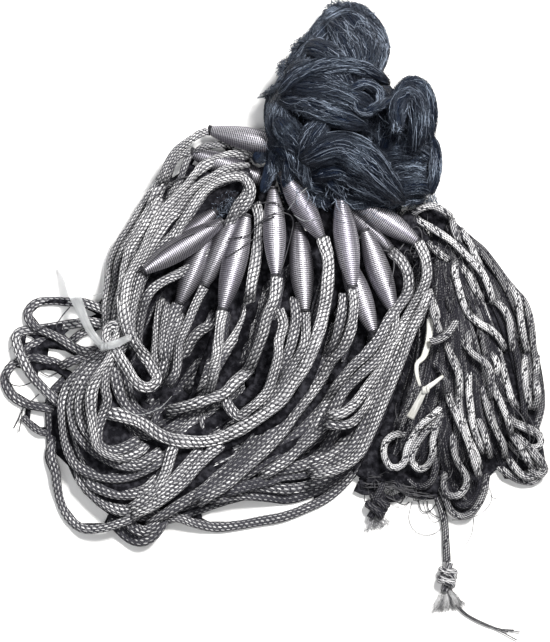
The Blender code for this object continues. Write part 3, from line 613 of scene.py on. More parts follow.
def rough_tops(node, grid=2.0):
    """The CAD solid's upper height, in millimetres, on the bed's cells."""
    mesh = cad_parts[node].data
    tree = BVHTree.FromPolygons([v.co for v in mesh.vertices], [tuple(p.vertices) for p in mesh.polygons])
    low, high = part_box(node)
    found = np.zeros((int(BED.ny / grid), int(BED.nx / grid)))
    down = Vector((0, 0, -1))
    for j in range(found.shape[0]):
        y = (BED.y0 + (j + 0.5) * grid) * MM
        if not low.y <= y <= high.y:
            continue
        for i in range(found.shape[1]):
            x = (BED.x0 + (i + 0.5) * grid) * MM
            if low.x <= x <= high.x:
                hit = tree.ray_cast(Vector((x, y, 0.2)), down)[0]
                if hit is not None:
                    found[j, i] = hit.z * 1000
    return np.kron(found, np.ones((int(grid), int(grid))))


def soften(grid, sigma):
    grid = np.apply_along_axis(blur, 0, grid, sigma)
    return np.apply_along_axis(blur, 1, grid, sigma)


def make_base():
    """The buried turns, as heights that the strands are laid on."""
    top = np.maximum(rough_tops("float_line_coil"), rough_tops("lead_line_coil"))
    hank = rough_tops("netting_hank")
    x = (BED.x0 + np.arange(BED.nx) + 0.5)[None, :]
    near = np.clip((x + 165.0) / 60.0, 0.15, 1.0)
    base = soften(np.maximum(0.0, top * 0.58 - 6.0) * near, 3.0)
    BED.high = np.where(top > 0, base, 0.0)
    BED.high = np.maximum(BED.high, np.where(hank > 0, np.maximum(0.0, soften(hank, 3.0) * 0.62 - 5.0), 0.0))
    return np.maximum(top, hank)


# Places where the core shrinks more: x, y, size in steps, and millimetres.
DRAWN_IN = ((124, 216, 24, 3.5), (98, 520, 8, 3.0))


def lay_core(name, node, material, inset, low):
    """The inner turns: a copy of the coil's shape drawn in and pressed down, which closes the gaps between strands."""
    drawn = [(metres([(x, y)])[0], size, deep) for x, y, size, deep in DRAWN_IN]
    work = bmesh.new()
    work.from_mesh(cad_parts[node].data)
    bmesh.ops.remove_doubles(work, verts=work.verts, dist=1e-5)
    bmesh.ops.recalc_face_normals(work, faces=work.faces)
    work.normal_update()
    for vert in work.verts:
        more = sum(deep * MM * math.exp(-((vert.co.x - x) ** 2 + (vert.co.y - y) ** 2) / (size * STEP) ** 2) for (x, y), size, deep in drawn)
        vert.co = vert.co - vert.normal * (inset + more)
    for vert in work.verts:
        vert.co.z = max(0.0004, vert.co.z * low)
    mesh = bpy.data.meshes.new(name)
    work.to_mesh(mesh)
    work.free()
    mesh.materials.clear()
    mesh.materials.append(material)
    mesh.shade_smooth()
    thing = bpy.data.objects.new(name, mesh)
    bpy.context.scene.collection.objects.link(thing)
    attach(thing, "root")
    return thing


# ------------------------------------------------------------------ float line
FLOAT_WIDE, FLOAT_HIGH = 4.3, 2.3
# A rail is a spoke of the coil: its inner and its outer place.
RAILS = (
    # name       in_x in_y out_x out_y
    ("neck",     (256, 186, 250, 163)),
    ("crown",    (226, 206, 202, 177)),
    ("shoulder", (186, 238, 142, 209)),
    ("flank",    (158, 296, 113, 281)),
    ("waist",    (134, 352, 111, 338)),
    ("belly",    (128, 398, 66, 420)),
    ("foot",     (140, 428, 97, 495)),
    ("keel",     (168, 420, 160, 511)),
    ("sweep",    (196, 392, 262, 482)),
    ("riser",    (212, 348, 355, 446)),
    ("throat",   (224, 300, 391, 362)),
    ("mouth",    (242, 252, 408, 290)),
    ("end",      (262, 221, 407, 247)),
)
# A window is a gap that goes right down through the coil.
WINDOWS = (
    # x    y    length width turn
    (300, 453, 22, 11, 40),
)


def clear_of_windows(points):
    """Moves places out of the windows."""
    p = np.asarray(points, float).copy()
    for x, y, long_, wide, turn in WINDOWS:
        t = math.radians(turn)
        d = p[:, :2] - (x, y)
        a = (d[:, 0] * math.cos(t) - d[:, 1] * math.sin(t)) / (long_ / 2 + 6)
        b = (d[:, 0] * math.sin(t) + d[:, 1] * math.cos(t)) / (wide / 2 + 6)
        far = np.hypot(a, b)
        push = np.where(far < 1, 1 / np.maximum(far, 0.15), 1.0)
        p[:, :2] = (x, y) + d * push[:, None]
    return p


# A strand of float line: its places from the lowest strand to the top one. The cover number is how much of it the white
# yarns cover, and low numbers also paint shade onto strands that lie deep; roll how far it is turned on its edge, long
# the length of a stitch in millimetres.
def strand(name, places, cover_and_shade=0.5, roll=0, long=5.2, wide=FLOAT_WIDE, high=FLOAT_HIGH, start=None, end=None):
    return dict(name=name, places=places, cover_and_shade=cover_and_shade, roll=roll, long=long, wide=wide, high=high, start=start, end=end)


LOW_STRANDS = (
    strand("swag_long", [(150, 506), (158, 513), (166, 517), (179, 518), (194, 523), (216, 527), (238, 525), (260, 521), (282, 517), (304, 509), (326, 498), (345, 482), (357, 466), (363, 448), (370, 429)], 0.42, 0, 5.0, 3.6, 2.4),
    strand("swag_b", [(206, 498), (224, 497), (241, 495), (267, 496), (289, 498), (311, 492), (330, 482), (347, 469), (358, 453), (366, 434)], 0.25),
    strand("swag_c", [(196, 494), (224, 488), (253, 486), (275, 488), (297, 488), (319, 482), (338, 472), (352, 459), (363, 442), (372, 422)], 0.35, long=6.5),
    strand("swag_d", [(224, 492), (262, 482), (282, 476), (304, 473), (323, 464), (338, 453), (345, 437), (352, 422)], 0.3),
    strand("gap_edge", [(262, 472), (289, 468), (308, 463), (323, 451), (332, 437), (338, 424)], 0.3),
    strand("bulge", [(112, 518), (119, 528), (130, 538), (140, 541), (149, 538), (158, 529), (166, 515)], 0.25),
    strand("bulge_in", [(122, 512), (132, 526), (143, 531), (153, 527), (162, 516)], 0.3),
    strand("left_dark", [(66, 380), (54, 392), (50, 405), (51, 425), (52, 445), (50, 458), (55, 470)], 0.22, 0, 4.6, 4.0, 2.6),
    strand("u_low", [(78, 470), (80, 480), (88, 490), (98, 500), (112, 508), (128, 510), (143, 503), (155, 489), (166, 460), (172, 446)], 0.5, 20),
    strand("u_mid", [(84, 474), (92, 484), (104, 490), (118, 494), (132, 494), (146, 489), (158, 478)], 0.55),
    strand("inner_h", [(124, 372), (127, 388), (131, 402), (139, 412), (150, 416)], 0.35),
)
LEFT_LOOPS = (
    strand("loop_low", [(22, 417), (27, 421), (34, 428), (41, 432), (50, 434)], 0.3, 0, 4.4, 2.6, 1.9),
    strand("loop_outer", [(30, 358), (23, 361), (13, 364.5), (7, 372), (5, 380), (8, 389), (14, 397), (24, 403), (35, 406), (47, 408), (58, 410)], 0.45, 0, 5.4, 3.5, 2.2),
    strand("loop_in_a", [(24, 352), (28, 348), (34, 344), (44, 341), (56, 340), (66, 344)], 0.4, 0, 5.0, 3.3),
    strand("loop_in_b", [(27, 358), (36, 358), (46, 360), (54, 362), (62, 366)], 0.35, 0, 5.0, 3.4),
    strand("loop_third", [(98, 326), (86, 331), (79, 335), (72, 341), (66, 348)], 0.35, 0, 5.0, 3.0),
    strand("loop_middle", [(112, 328), (104, 325), (92, 322), (80, 323), (67, 325), (56, 327), (42, 329), (30, 330), (20, 332), (16, 337), (17, 345), (21, 356), (27, 368), (33, 377), (41, 386), (49, 394), (58, 401), (66, 408)], 0.55, 0, 5.8, 3.8, 2.1),
    strand("loop_upper", [(112, 314), (103, 310), (94, 306), (85, 303), (76, 302), (67, 302), (57, 301), (48, 301), (39, 302), (32, 306), (28, 313), (30, 321), (37, 328), (46, 332), (57, 337), (67, 343), (75, 348), (84, 351), (94, 350), (104, 348)], 0.5, 0, 5.4, 3.3, 2.1),
    strand("loop_rope", [(62, 366), (72, 361), (84, 358), (95, 355), (106, 351)], 0.45, 0, 5.0, 3.3),
)
FAN = (
    strand("tag", [(164, 185), (172, 185), (181, 185)], 0.15, 0, 5, 2.2, 1.6),
    strand("upright", [(190, 154), (187, 160), (183, 171), (180, 180), (174, 190), (166, 201)], 0.15, 0, 5, 2.6, 2.0),
    strand("behind_one", [(232, 146), (224, 144), (215, 145), (205, 146), (198, 150), (192, 156)], 0.2, 0, 5, 2.4, 2.0),
    strand("dark", [(166, 204), (159, 213), (152, 222), (147, 235), (141, 249), (136, 260), (131, 272), (128, 285)], 0.1),
    strand("fan_a", [(160, 180), (155, 188), (146, 200), (138, 214), (130, 229), (121, 241), (114, 256), (111, 269), (109, 283), (107, 296), (107, 312), (107, 328), (108, 342), (104, 352), (86, 366), (73, 380), (65, 395), (62, 410), (63, 428), (67, 448), (74, 463), (86, 471), (100, 476), (115, 478), (130, 476), (143, 471), (155, 464), (164, 455)], 0.45, 22, 5.0),
    strand("fan_b", [(163, 182), (156, 196), (148, 211), (141, 223), (134, 236), (127, 246), (121, 258), (118, 269), (117, 283), (115, 296), (113, 312), (111, 328), (110, 342), (106, 354), (92, 368), (80, 382), (73, 398), (72, 412), (76, 430), (86, 444), (97, 453), (109, 460), (123, 465), (138, 465), (149, 459), (160, 452)], 0.5, 28, 5.0),
    strand("fan_c", [(160, 200), (154, 212), (147, 224), (139, 235), (133, 244), (128, 255), (124, 267), (122, 281), (121, 292), (119, 308), (116, 326), (112, 344), (108, 356), (96, 372), (85, 388), (80, 402), (80, 414), (84, 426), (91, 436), (102, 447), (114, 455), (127, 456), (139, 451), (146, 444)], 0.55, 34, 5.0),
    strand("arch_c", [(250, 178), (238, 176), (226, 179), (215, 184), (205, 191), (196, 203), (189, 214), (182, 223), (174, 234), (164, 244), (155, 256), (148, 267), (141, 281), (137, 296), (134, 312), (131, 330), (126, 342), (118, 354), (115, 368), (117, 384), (122, 399), (129, 409), (139, 418), (150, 428)], 0.35, 0, 6.0),
    strand("arch_b", [(248, 166), (238, 167), (226, 170), (215, 175), (204, 181), (195, 188), (186, 198), (178, 210), (168, 220), (160, 231), (152, 243), (145, 256), (140, 266), (134, 278), (131, 292), (128, 306), (126, 322), (124, 340), (112, 360), (106, 374), (105, 388), (107, 400), (103, 414), (98, 428), (98, 442), (104, 449), (114, 451), (125, 448), (138, 441)], 0.62, 40, 5.2),
    strand("arch_a", [(252, 157), (240, 154), (228, 155), (215, 160), (204, 166), (195, 174), (187, 184), (178, 195), (168, 206), (159, 218), (155, 226), (149, 236), (143, 250), (137, 261), (133, 269), (128, 281), (126, 292), (124, 306), (121, 322), (115, 342), (110, 358), (100, 372), (93, 387), (91, 403), (92, 420), (94, 435), (98, 448), (110, 456), (124, 458)], 0.68, 30, 5.2),
    strand("two_rope", [(189, 151), (180, 156), (174, 162), (169, 172), (165, 182)], 0.2, 0, 5, 2.5, 2.1, start=26),
    strand("one_rope", [(207, 131), (198, 135), (187, 142), (175, 152), (167, 165), (163, 174), (160, 182)], 0.45, 0, 4.6, 2.9, 2.2, start=34),
)
MIDDLE_LEFT = (
    strand("thirteen_rope", [(178, 304), (171, 323), (166, 341), (165, 360), (160, 380), (150, 398)], 0.25, start=34),
    strand("down_a", [(161, 301), (159, 313), (157, 327), (156, 341), (155, 354), (157, 367)], 0.45, 0, 4.2, 3.4),
    strand("down_b", [(168, 305), (165, 319), (163, 333), (162, 348), (164, 362)], 0.25, 0, 4.6, 3.4),
    strand("down_c", [(177, 306), (173, 317), (169, 331), (166, 348), (167, 362)], 0.3, 20, 4.6, 3.6),
    strand("down_d", [(180, 315), (176, 327), (172, 337), (170, 351), (169, 360)], 0.3, 20, 4.6, 3.4),
    strand("down_e", [(215, 313), (209, 325), (200, 331), (192, 340), (186, 352), (180, 362), (174, 373)], 0.4, 0, 5.6),
    strand("short", [(212, 362), (203, 370), (196, 380), (188, 390)], 0.3, 0, 5.6),
    strand("upright_a", [(202, 413), (204, 424), (206, 435)], 0.7, 45, 4.8, 3.6),
    strand("upright_b", [(216, 412), (218, 421), (219, 429)], 0.25, 0, 4.8, 3.6),
    strand("twelve_rope", [(204, 287), (196, 303), (190, 317), (184, 331), (179, 343), (178, 357), (176, 372), (169, 384)], 0.4, 0, 4.8, 3.6, start=40),
    strand("hook_b", [(243, 176), (248, 187), (245, 196), (238, 204), (232, 218), (225, 235), (212, 251), (196, 264), (182, 272), (168, 279), (156, 286), (148, 295), (143, 307), (140, 321), (138, 336), (138, 348)], 0.35, 0, 5.4, 3.8),
    strand("three_rope", [(142, 273), (138, 283), (135, 298), (132, 315), (131, 332), (131, 348)], 0.35, 0, 5, 3.4, start=46),
)
HOOK = (
    strand("hook_a", [(170, 246), (178, 230), (186, 216), (195, 202), (205, 190), (218, 181), (232, 177), (243, 178), (250, 186), (250, 196), (244, 207), (236, 216)], 0.62, 30, 5.0, 3.8),
)
DIAGONALS = (
    strand("hoop", [(52, 440), (51, 455), (55, 470), (57, 485), (60, 500), (66, 514), (75, 524), (86, 529), (103, 528), (120, 523), (138, 515), (155, 500), (178, 478), (195, 460)], 0.42, 15, 5.4, 3.4, 2.3),
    strand("diagonal_c", [(178, 440), (172, 451), (165, 473), (155, 490), (143, 501), (130, 510)], 0.78, 0, 4.8),
    strand("diagonal_d", [(205, 446), (196, 455), (182, 470), (168, 486), (152, 500)], 0.62, 0, 4.8),
    strand("diagonal_b", [(228, 440), (214, 450), (198, 466), (184, 482), (168, 495), (150, 507), (134, 514)], 0.6, 0, 5.0),
    strand("diagonal_a", [(262, 424), (251, 442), (238, 459), (220, 475), (201, 491), (182, 503), (165, 514), (150, 522)], 0.45, 35, 5.6),
)
RIGHT_BUNDLE = (
    strand("eight_b_rope", [(343, 294), (343, 302), (341, 319), (336, 338), (327, 357), (314, 378), (303, 397), (290, 413), (274, 430), (256, 448), (238, 464), (214, 484), (190, 500)], 0.3, 0, 6.0, 4.0, start=50),
    strand("eight_rope", [(353, 290), (354, 306), (351, 329), (343, 348), (331, 362), (322, 378), (309, 396), (296, 413), (284, 430), (266, 450), (246, 468), (224, 486), (200, 502)], 0.5, 0, 5.6, 4.2, start=64),
    strand("ten_b_rope", [(392, 252), (402, 262), (408, 275), (408, 291), (402, 302), (389, 319), (379, 338), (366, 354), (354, 365), (343, 378), (333, 392), (322, 413), (311, 434), (296, 450), (276, 466)], 0.42, 0, 5.4, 4.2),
    strand("ten_rope", [(394, 314), (394, 328), (388, 342), (379, 357), (362, 373), (346, 389), (336, 405), (328, 421), (314, 436), (300, 448), (284, 462), (262, 476)], 0.4, 0, 5.4, 4.2, start=54),
    strand("edge_c", [(306, 464), (327, 456), (343, 442), (357, 418), (370, 397), (382, 376), (392, 352)], 0.45, 0, 5.4),
    strand("edge_b", [(309, 469), (330, 463), (349, 450), (363, 429), (376, 402), (389, 373), (402, 342), (410, 318)], 0.5, 0, 5.4),
    strand("edge_a", [(314, 474), (338, 469), (357, 456), (368, 437), (379, 413), (392, 381), (402, 357), (411, 332), (422, 310), (429, 294)], 0.6, 10, 5.4),
    strand("cross_u", [(372, 396), (366, 407), (354, 421), (343, 425), (327, 424)], 0.5, 20, 5.4, 3.8),
    strand("nine_rope", [(419, 243), (425, 257), (427, 275), (422, 291), (414, 305), (402, 326), (389, 348), (379, 370), (366, 389), (354, 404), (343, 413), (330, 416)], 0.72, 0, 4.8, 4.2, start=36),
)
CENTRE = (
    strand("seven_b_rope", [(294, 300), (296, 316), (295, 327), (290, 348), (281, 368), (270, 386), (256, 404), (240, 420)], 0.25, 0, 5.6),
    strand("seven_rope", [(305, 313), (306, 330), (304, 345), (297, 359), (288, 373), (280, 387), (270, 400), (256, 414)], 0.5, 0, 5.4, 3.9, start=50),
    strand("five_b_rope", [(279, 309), (283, 324), (279, 341), (278, 356), (274, 373), (268, 390), (258, 402), (248, 410), (240, 416), (232, 411), (227, 403), (224, 394)], 0.66, 0, 5.0, 4.0, start=54),
    strand("four_b_rope", [(256, 205), (259, 218), (258, 240), (256, 258), (254, 270), (251, 287), (249, 307), (244, 322), (235, 337), (226, 349), (218, 362), (208, 376), (196, 388)], 0.7, 0, 5.4, 4.2),
    strand("four_rope", [(222, 312), (220, 327), (218, 345), (216, 359), (213, 376), (209, 390), (200, 402), (188, 412)], 0.85, 0, 3.9, 4.1, start=58),
    strand("five_rope", [(277, 278), (274, 299), (267, 316), (263, 333), (256, 352), (247, 371), (235, 382), (224, 393), (209, 399), (191, 405), (180, 408), (168, 411)], 0.62, 0, 5.8, 4.4, start=60),
    strand("six_rope", [(323, 239), (328, 259), (328, 278), (325, 304), (320, 327), (313, 348), (304, 368), (292, 385), (281, 400), (267, 412), (251, 423), (232, 433), (214, 440), (191, 442), (175, 440), (160, 435), (143, 424), (123, 416), (109, 413)], 0.78, 0, 5.2, 5.0, 2.5, start=66),
)
BIGHT = (
    strand("bight", [(120, 334), (119, 328), (113, 326), (107, 330), (106, 339), (109, 343), (116, 352), (126, 367), (134, 380), (143, 387), (152, 386), (157, 378), (152, 368), (146, 358), (138, 347), (132, 338), (126, 324), (122, 300)], 0.72, 0, 5.6, 4.6, 2.2),
)
# The courses below are not made out one by one: they are a guess that fills the depth between the strands above.
# Their mostly low cover numbers paint them darker, as shade in that depth.
GUESSED_LOW = (
    strand("guess_crown", [(252, 170), (238, 164), (224, 163), (210, 168), (198, 178), (186, 190), (172, 206), (160, 224), (150, 244)], 0.3),
    strand("guess_shade_a", [(196, 262), (184, 286), (172, 312), (163, 338), (160, 362), (158, 386), (150, 404)], 0.12),
    strand("guess_shade_b", [(212, 268), (206, 290), (200, 312), (196, 336), (190, 358), (180, 380)], 0.12),
    strand("guess_bundle_b", [(200, 362), (190, 376), (180, 390), (170, 402), (160, 414), (152, 430)], 0.25, 0, 5.6),
    strand("guess_bundle_c", [(190, 350), (182, 366), (174, 384), (164, 398), (152, 412), (144, 426)], 0.25, 0, 5.6),
    strand("guess_cross_a", [(160, 436), (172, 428), (184, 420), (196, 412), (210, 400), (224, 388)], 0.35),
    strand("guess_cross_b", [(168, 446), (180, 436), (192, 424), (204, 412)], 0.3),
    strand("guess_slope_a", [(346, 402), (330, 420), (312, 440), (294, 456), (272, 470), (248, 482), (224, 492)], 0.2, 0, 6.0),
    strand("guess_slope_b", [(330, 400), (312, 420), (292, 440), (270, 458), (246, 474), (222, 488)], 0.2, 0, 6.0),
    strand("guess_gap_a", [(398, 250), (410, 276), (420, 304), (423, 336), (419, 372), (410, 404), (398, 430)], 0.15),
    strand("guess_gap_b", [(404, 238), (420, 262), (430, 292), (433, 324), (430, 356), (422, 390), (410, 422)], 0.12),
    strand("guess_gap_c", [(396, 222), (414, 236), (430, 256), (440, 284), (444, 314), (442, 346)], 0.1),
    strand("guess_gap_d", [(384, 300), (398, 330), (404, 362), (400, 396), (390, 430), (376, 456)], 0.12),
    strand("guess_bottom_a", [(146, 523), (168, 519), (192, 511), (216, 503), (244, 495)], 0.4),
    strand("guess_bottom_b", [(160, 512), (184, 505), (208, 497), (236, 488)], 0.4),
    strand("guess_bottom_c", [(112, 508), (126, 514), (142, 516), (158, 511), (176, 503)], 0.4),
    strand("guess_top", [(300, 206), (322, 212), (346, 216), (368, 222), (388, 236)], 0.08),
    strand("guess_top_b", [(250, 186), (272, 196), (296, 202), (320, 206)], 0.08),
    strand("guess_eleven_rope", [(373, 332), (372, 346), (364, 362), (352, 376), (338, 392), (324, 410), (310, 428)], 0.2, 0, 5.4, start=46),
)

# ------------------------------------------------------------------ floats
FLOAT_LONG, FLOAT_ROUND, FLOAT_END = 0.0665, 0.0088, 0.0026
FLOATS = (
    # name   tail_x tail_y tail_z head_x head_y head_z  round
    ("01", (297, 150, 30, 208, 130, 34, 8.6)),
    ("02", (275, 184, 12, 190, 152, 18, 8.8)),
    ("14", (217, 210, 22.4, 142, 270, 28, 8.8)),
    ("15", (334, 196, 12, 391, 250, 30, 8.8)),
    ("13", (212, 227, 7.6, 179, 304, 32, 8.8)),
    ("12", (239, 208, 17, 204, 286, 40, 8.8)),
    ("03", (223, 221, 38, 142, 272, 48, 8.8)),
    ("04", (247, 214, 44, 222, 311, 58, 9.1)),
    ("11", (344, 254, 34, 374, 333, 50, 8.8)),
    ("10", (364, 229, 54, 394, 313, 60, 8.8)),
    ("09", (348, 195, 40, 419, 243, 34, 8.8)),
    ("07", (298, 223, 36, 305, 312, 50, 8.8)),
    ("05", (273, 187, 46, 276, 277, 60, 8.4)),
    ("08", (340, 196, 58, 353, 288, 64, 9.1)),
    ("06", (282, 171, 50, 322, 239, 64, 8.8)),
)

# ------------------------------------------------------------------ lead line
LEAD = 2.65


# A strand of lead line: its places from the lowest strand to the top one. The cover number is how light it is: the
# line is one cord, so its low numbers are painted shade on strands that lie low or under others.
def lead(name, places, cover_and_shade=0.5, start=None, end=None):
    return dict(name=name, places=places, cover_and_shade=cover_and_shade, start=start, end=end)


LEAD_LOW = (
    lead("edge_one", [(449, 221), (459, 230), (471, 240), (483, 250), (494, 264), (504, 278), (515, 291), (524, 301), (529, 314), (532, 330), (534, 352), (538, 378), (542, 402), (538, 422), (531, 436)], 0.35),
    lead("edge_two", [(450, 224), (460, 234), (472, 244), (484, 256), (496, 272), (506, 288), (514, 304), (520, 322), (524, 342), (528, 362), (532, 384), (534, 404)], 0.3),
    lead("edge_three", [(448, 228), (458, 242), (470, 256), (482, 270), (492, 286), (500, 304), (508, 322), (514, 342), (518, 362), (521, 384), (524, 404), (524, 424)], 0.25),
    lead("right_one", [(506, 412), (513, 421), (524, 426), (534, 431), (541, 440), (538, 447), (528, 447), (518, 440), (508, 430)], 0.7),
    lead("right_two", [(508, 442), (518, 452), (528, 461), (537, 470), (538, 478), (530, 482), (519, 480), (508, 474), (498, 466)], 0.6),
    lead("right_three", [(512, 430), (524, 442), (534, 452), (542, 462), (545, 470), (539, 475), (528, 470)], 0.55),
    lead("right_four", [(507, 456), (515, 468), (524, 476), (534, 477)], 0.5),
    lead("right_five", [(530, 450), (537, 458), (543, 466)], 0.5),
    lead("right_six", [(510, 433), (520, 447), (528, 460), (532, 467)], 0.75),
    lead("right_seven", [(511, 423), (522, 427), (534, 433), (540, 435)], 0.8),
    lead("dark_one", [(374, 470), (372, 484), (380, 494), (392, 499), (404, 494)], 0.08),
    lead("dark_two", [(390, 470), (398, 484), (412, 494), (426, 496), (436, 490)], 0.1),
    lead("outer_inside", [(442, 470), (446, 484), (452, 497), (462, 506), (472, 502), (479, 490), (481, 474)], 0.12),
    lead("outer", [(440, 486), (446, 500), (451, 511), (460, 516.5), (470, 514), (478, 505), (484, 492), (487, 474)], 0.42),
)
LEAD_MIDDLE = (
    lead("end_one", [(524.8, 356), (524.8, 379), (527.8, 397), (529.8, 407)], 0.7),
    lead("end_two", [(536.8, 357), (535.8, 379), (537.8, 397), (534.8, 408)], 0.6),
    lead("middle_one", [(509, 284), (517, 298), (520, 315), (523, 334), (527, 351)], 0.6),
    lead("middle_two", [(493, 301), (503, 308), (509, 320), (511, 334), (513, 351)], 0.75),
    lead("six", [(501.8, 362), (505.8, 379), (510.8, 397), (514.8, 407)], 0.8),
    lead("five_short", [(490.8, 352), (496.8, 363), (495.8, 376)], 0.75),
    lead("five", [(478.8, 355), (483.8, 364), (488.8, 377), (494.8, 391), (501.8, 405), (507.8, 420), (510.8, 433)], 0.8),
    lead("four", [(483, 385), (485, 400), (490, 416), (496, 430), (503, 444), (505, 456)], 0.65),
    lead("three_short", [(476.8, 418), (482.8, 430), (486.8, 443), (489.8, 456)], 0.7),
    lead("three", [(468.8, 371), (468.8, 391), (470.8, 409), (472.8, 423), (476.8, 437), (482.8, 451)], 0.85),
    lead("two", [(448.8, 351), (455.8, 363), (458.8, 374), (458.8, 395), (459.8, 411), (463.8, 425), (468.8, 440), (475.8, 454), (479.8, 467)], 0.85),
    lead("one", [(446.8, 378), (448.8, 397), (455.8, 414), (462.8, 430), (468.8, 444), (473.8, 460), (478.8, 475)], 0.8),
    lead("dim", [(447, 295), (452, 315)], 0.15),
    lead("light", [(430, 293), (435, 307), (439, 323)], 0.9),
    lead("flat", [(467, 329), (470, 351)], 0.5),
    lead("slope", [(463, 341), (472, 353), (486, 364), (491, 377), (490, 398)], 0.65),
    lead("inner", [(447, 345), (453, 361), (459, 377), (460, 398)], 0.6),
)
LEAD_TOP = (
    lead("loop_c", [(452.8, 433), (453.8, 450), (458.8, 464), (465.8, 475), (465.8, 486), (458.8, 495), (448.8, 495), (443.8, 486), (444.8, 474)], 0.5),
    lead("loop_under", [(404, 471), (410, 481), (420, 487), (430, 483), (435, 471), (436, 456)], 0.2),
    lead("loop_b", [(442.8, 412), (436.8, 425), (432.8, 440), (432.8, 453), (426.8, 466), (418.8, 469), (411.8, 462), (411.8, 462), (411.8, 455), (417.3, 443.5), (426.8, 430.5), (437.8, 418.5)], 0.65),
    lead("loop_a", [(440.8, 408), (431.8, 416), (420.8, 425), (412.8, 437), (406.8, 449), (404.8, 460), (398.8, 467), (389.8, 466), (383.8, 454), (385.8, 442), (394.8, 435), (406.8, 433)], 0.85),
    lead("dive_b", [(427, 241), (435, 250), (444, 257), (451, 262)], 0.6),
    lead("dive_r", [(460, 266), (468, 275), (475, 289), (482, 299)], 0.75),
    lead("dive_c", [(455.8, 262), (454.8, 273), (458.8, 288), (462.8, 302), (468.8, 314), (478.8, 323), (490.8, 330), (499.8, 339), (504.8, 349)], 0.8),
    lead("inside_one", [(452, 220), (455, 232), (460, 244)], 0.6),
    lead("inside_two", [(461, 230), (470, 244), (475, 256), (482, 269)], 0.7),
    lead("dive_a", [(413.8, 216), (420.8, 222), (431.8, 228), (442.8, 235), (453.8, 243), (463.8, 253), (472.8, 262), (480.8, 271), (484.8, 278), (489.8, 290), (492.8, 302)], 0.85),
    lead("head", [(412, 214), (420, 209), (429, 206), (436, 207), (444, 211), (450, 216)], 0.75),
    lead("tie_rope", [(432, 363), (440, 368), (446, 378)], 0.35),
)
# The buried turns, as the CAD has them.
LEAD_LOOPS = (
    # head_x head_y foot_x foot_y gape bow low high
    (446, 236, 386, 472, 14, 8, 6, 8),
    (446, 234, 408, 474, 18, 10, 6, 9),
    (444, 232, 430, 484, 18, 8, 6, 9),
    (443, 230, 456, 494, 18, 4, 6, 9),
    (443, 228, 478, 498, 18, 2, 6, 9),
    (444, 226, 512, 475, 18, 4, 6, 9),
    (446, 226, 534, 470, 16, 10, 6, 9),
    (446, 226, 537, 404, 12, 16, 6, 9),
    (448, 360, 463, 509, 26, 0, 5, 6),
    (444, 230, 400, 452, 16, 12, 16, 34),
    (444, 230, 424, 462, 18, 8, 20, 42),
    (444, 228, 458, 470, 18, 4, 20, 44),
    (444, 228, 492, 450, 18, 6, 18, 38),
    (444, 226, 520, 412, 18, 8, 14, 28),
)

# ------------------------------------------------------------------ loose ends, knots and tufts
ENDS = {
    # name: radius, places (x, y, z), the free end last
    "lead_line_tail": (3.0, ((437, 497, 5.2), (442, 511, 3.8), (445, 526, 3.1), (446, 544, 3.1), (447, 562, 3.1))),
    "lead_line_cut_end": (2.9, ((430, 342, 52.5), (440, 339, 52.5), (449, 332, 51), (456, 321, 48))),
}
KNOTS = {
    # name: x, y, z, half long, half wide, half high, turn
    "tail_knot": (447, 577, 6.6, 9.4, 7.6, 6.6, 80),
    "frayed_knot": (377, 505.5, 6.4, 9.2, 8.8, 6.4, 60),
}
TUFTS = {
    # name: root, tip, half width at the root and at the tip, thick
    "tail_tuft": ((446, 590), (449, 611), 9, 19, 5.0),
    "knot_tuft": ((376.5, 518.5), (379, 530), 11, 17, 5.0),
}
STRIPS = {
    # name: half width, half thickness, places (x, y, z)
    "tie_left": (3.75, 0.6, ((61, 264, 7), (70, 281, 12), (75, 296, 17), (81, 311, 23), (88, 327, 31), (95, 338, 38), (103, 347, 43))),
    "tie_right": (2.3, 0.7, ((430, 319, 44), (429, 338, 46.4), (424, 356, 49), (417, 364, 51), (417, 375, 52), (420, 386, 52))),
}
TIE_ENDS = {
    "tie_left": (3.0, 0.6, ((103, 347, 43), (112, 345, 45), (122, 341, 45), (130, 337, 44))),
    "tie_right": (2.7, 0.7, ((443, 376, 48), (434, 383, 51), (425, 390, 52), (419, 401, 50), (410, 418, 46))),
}
# How a tie's strips widen and narrow along their run: for the strip itself, then for its other end.
TIE_SWELL = {
    "tie_left": (((0, 0.15, 0.3, 0.5, 0.75, 1), (0.35, 1.0, 1.25, 1.0, 0.75, 0.75)), ((0, 0.5, 1), (0.9, 1.0, 0.8))),
    "tie_right": (((0, 0.5, 0.65, 0.8, 1), (0.98, 0.98, 0.72, 0.66, 0.5)), ((0, 0.5, 1), (0.4, 0.85, 1.1))),
}
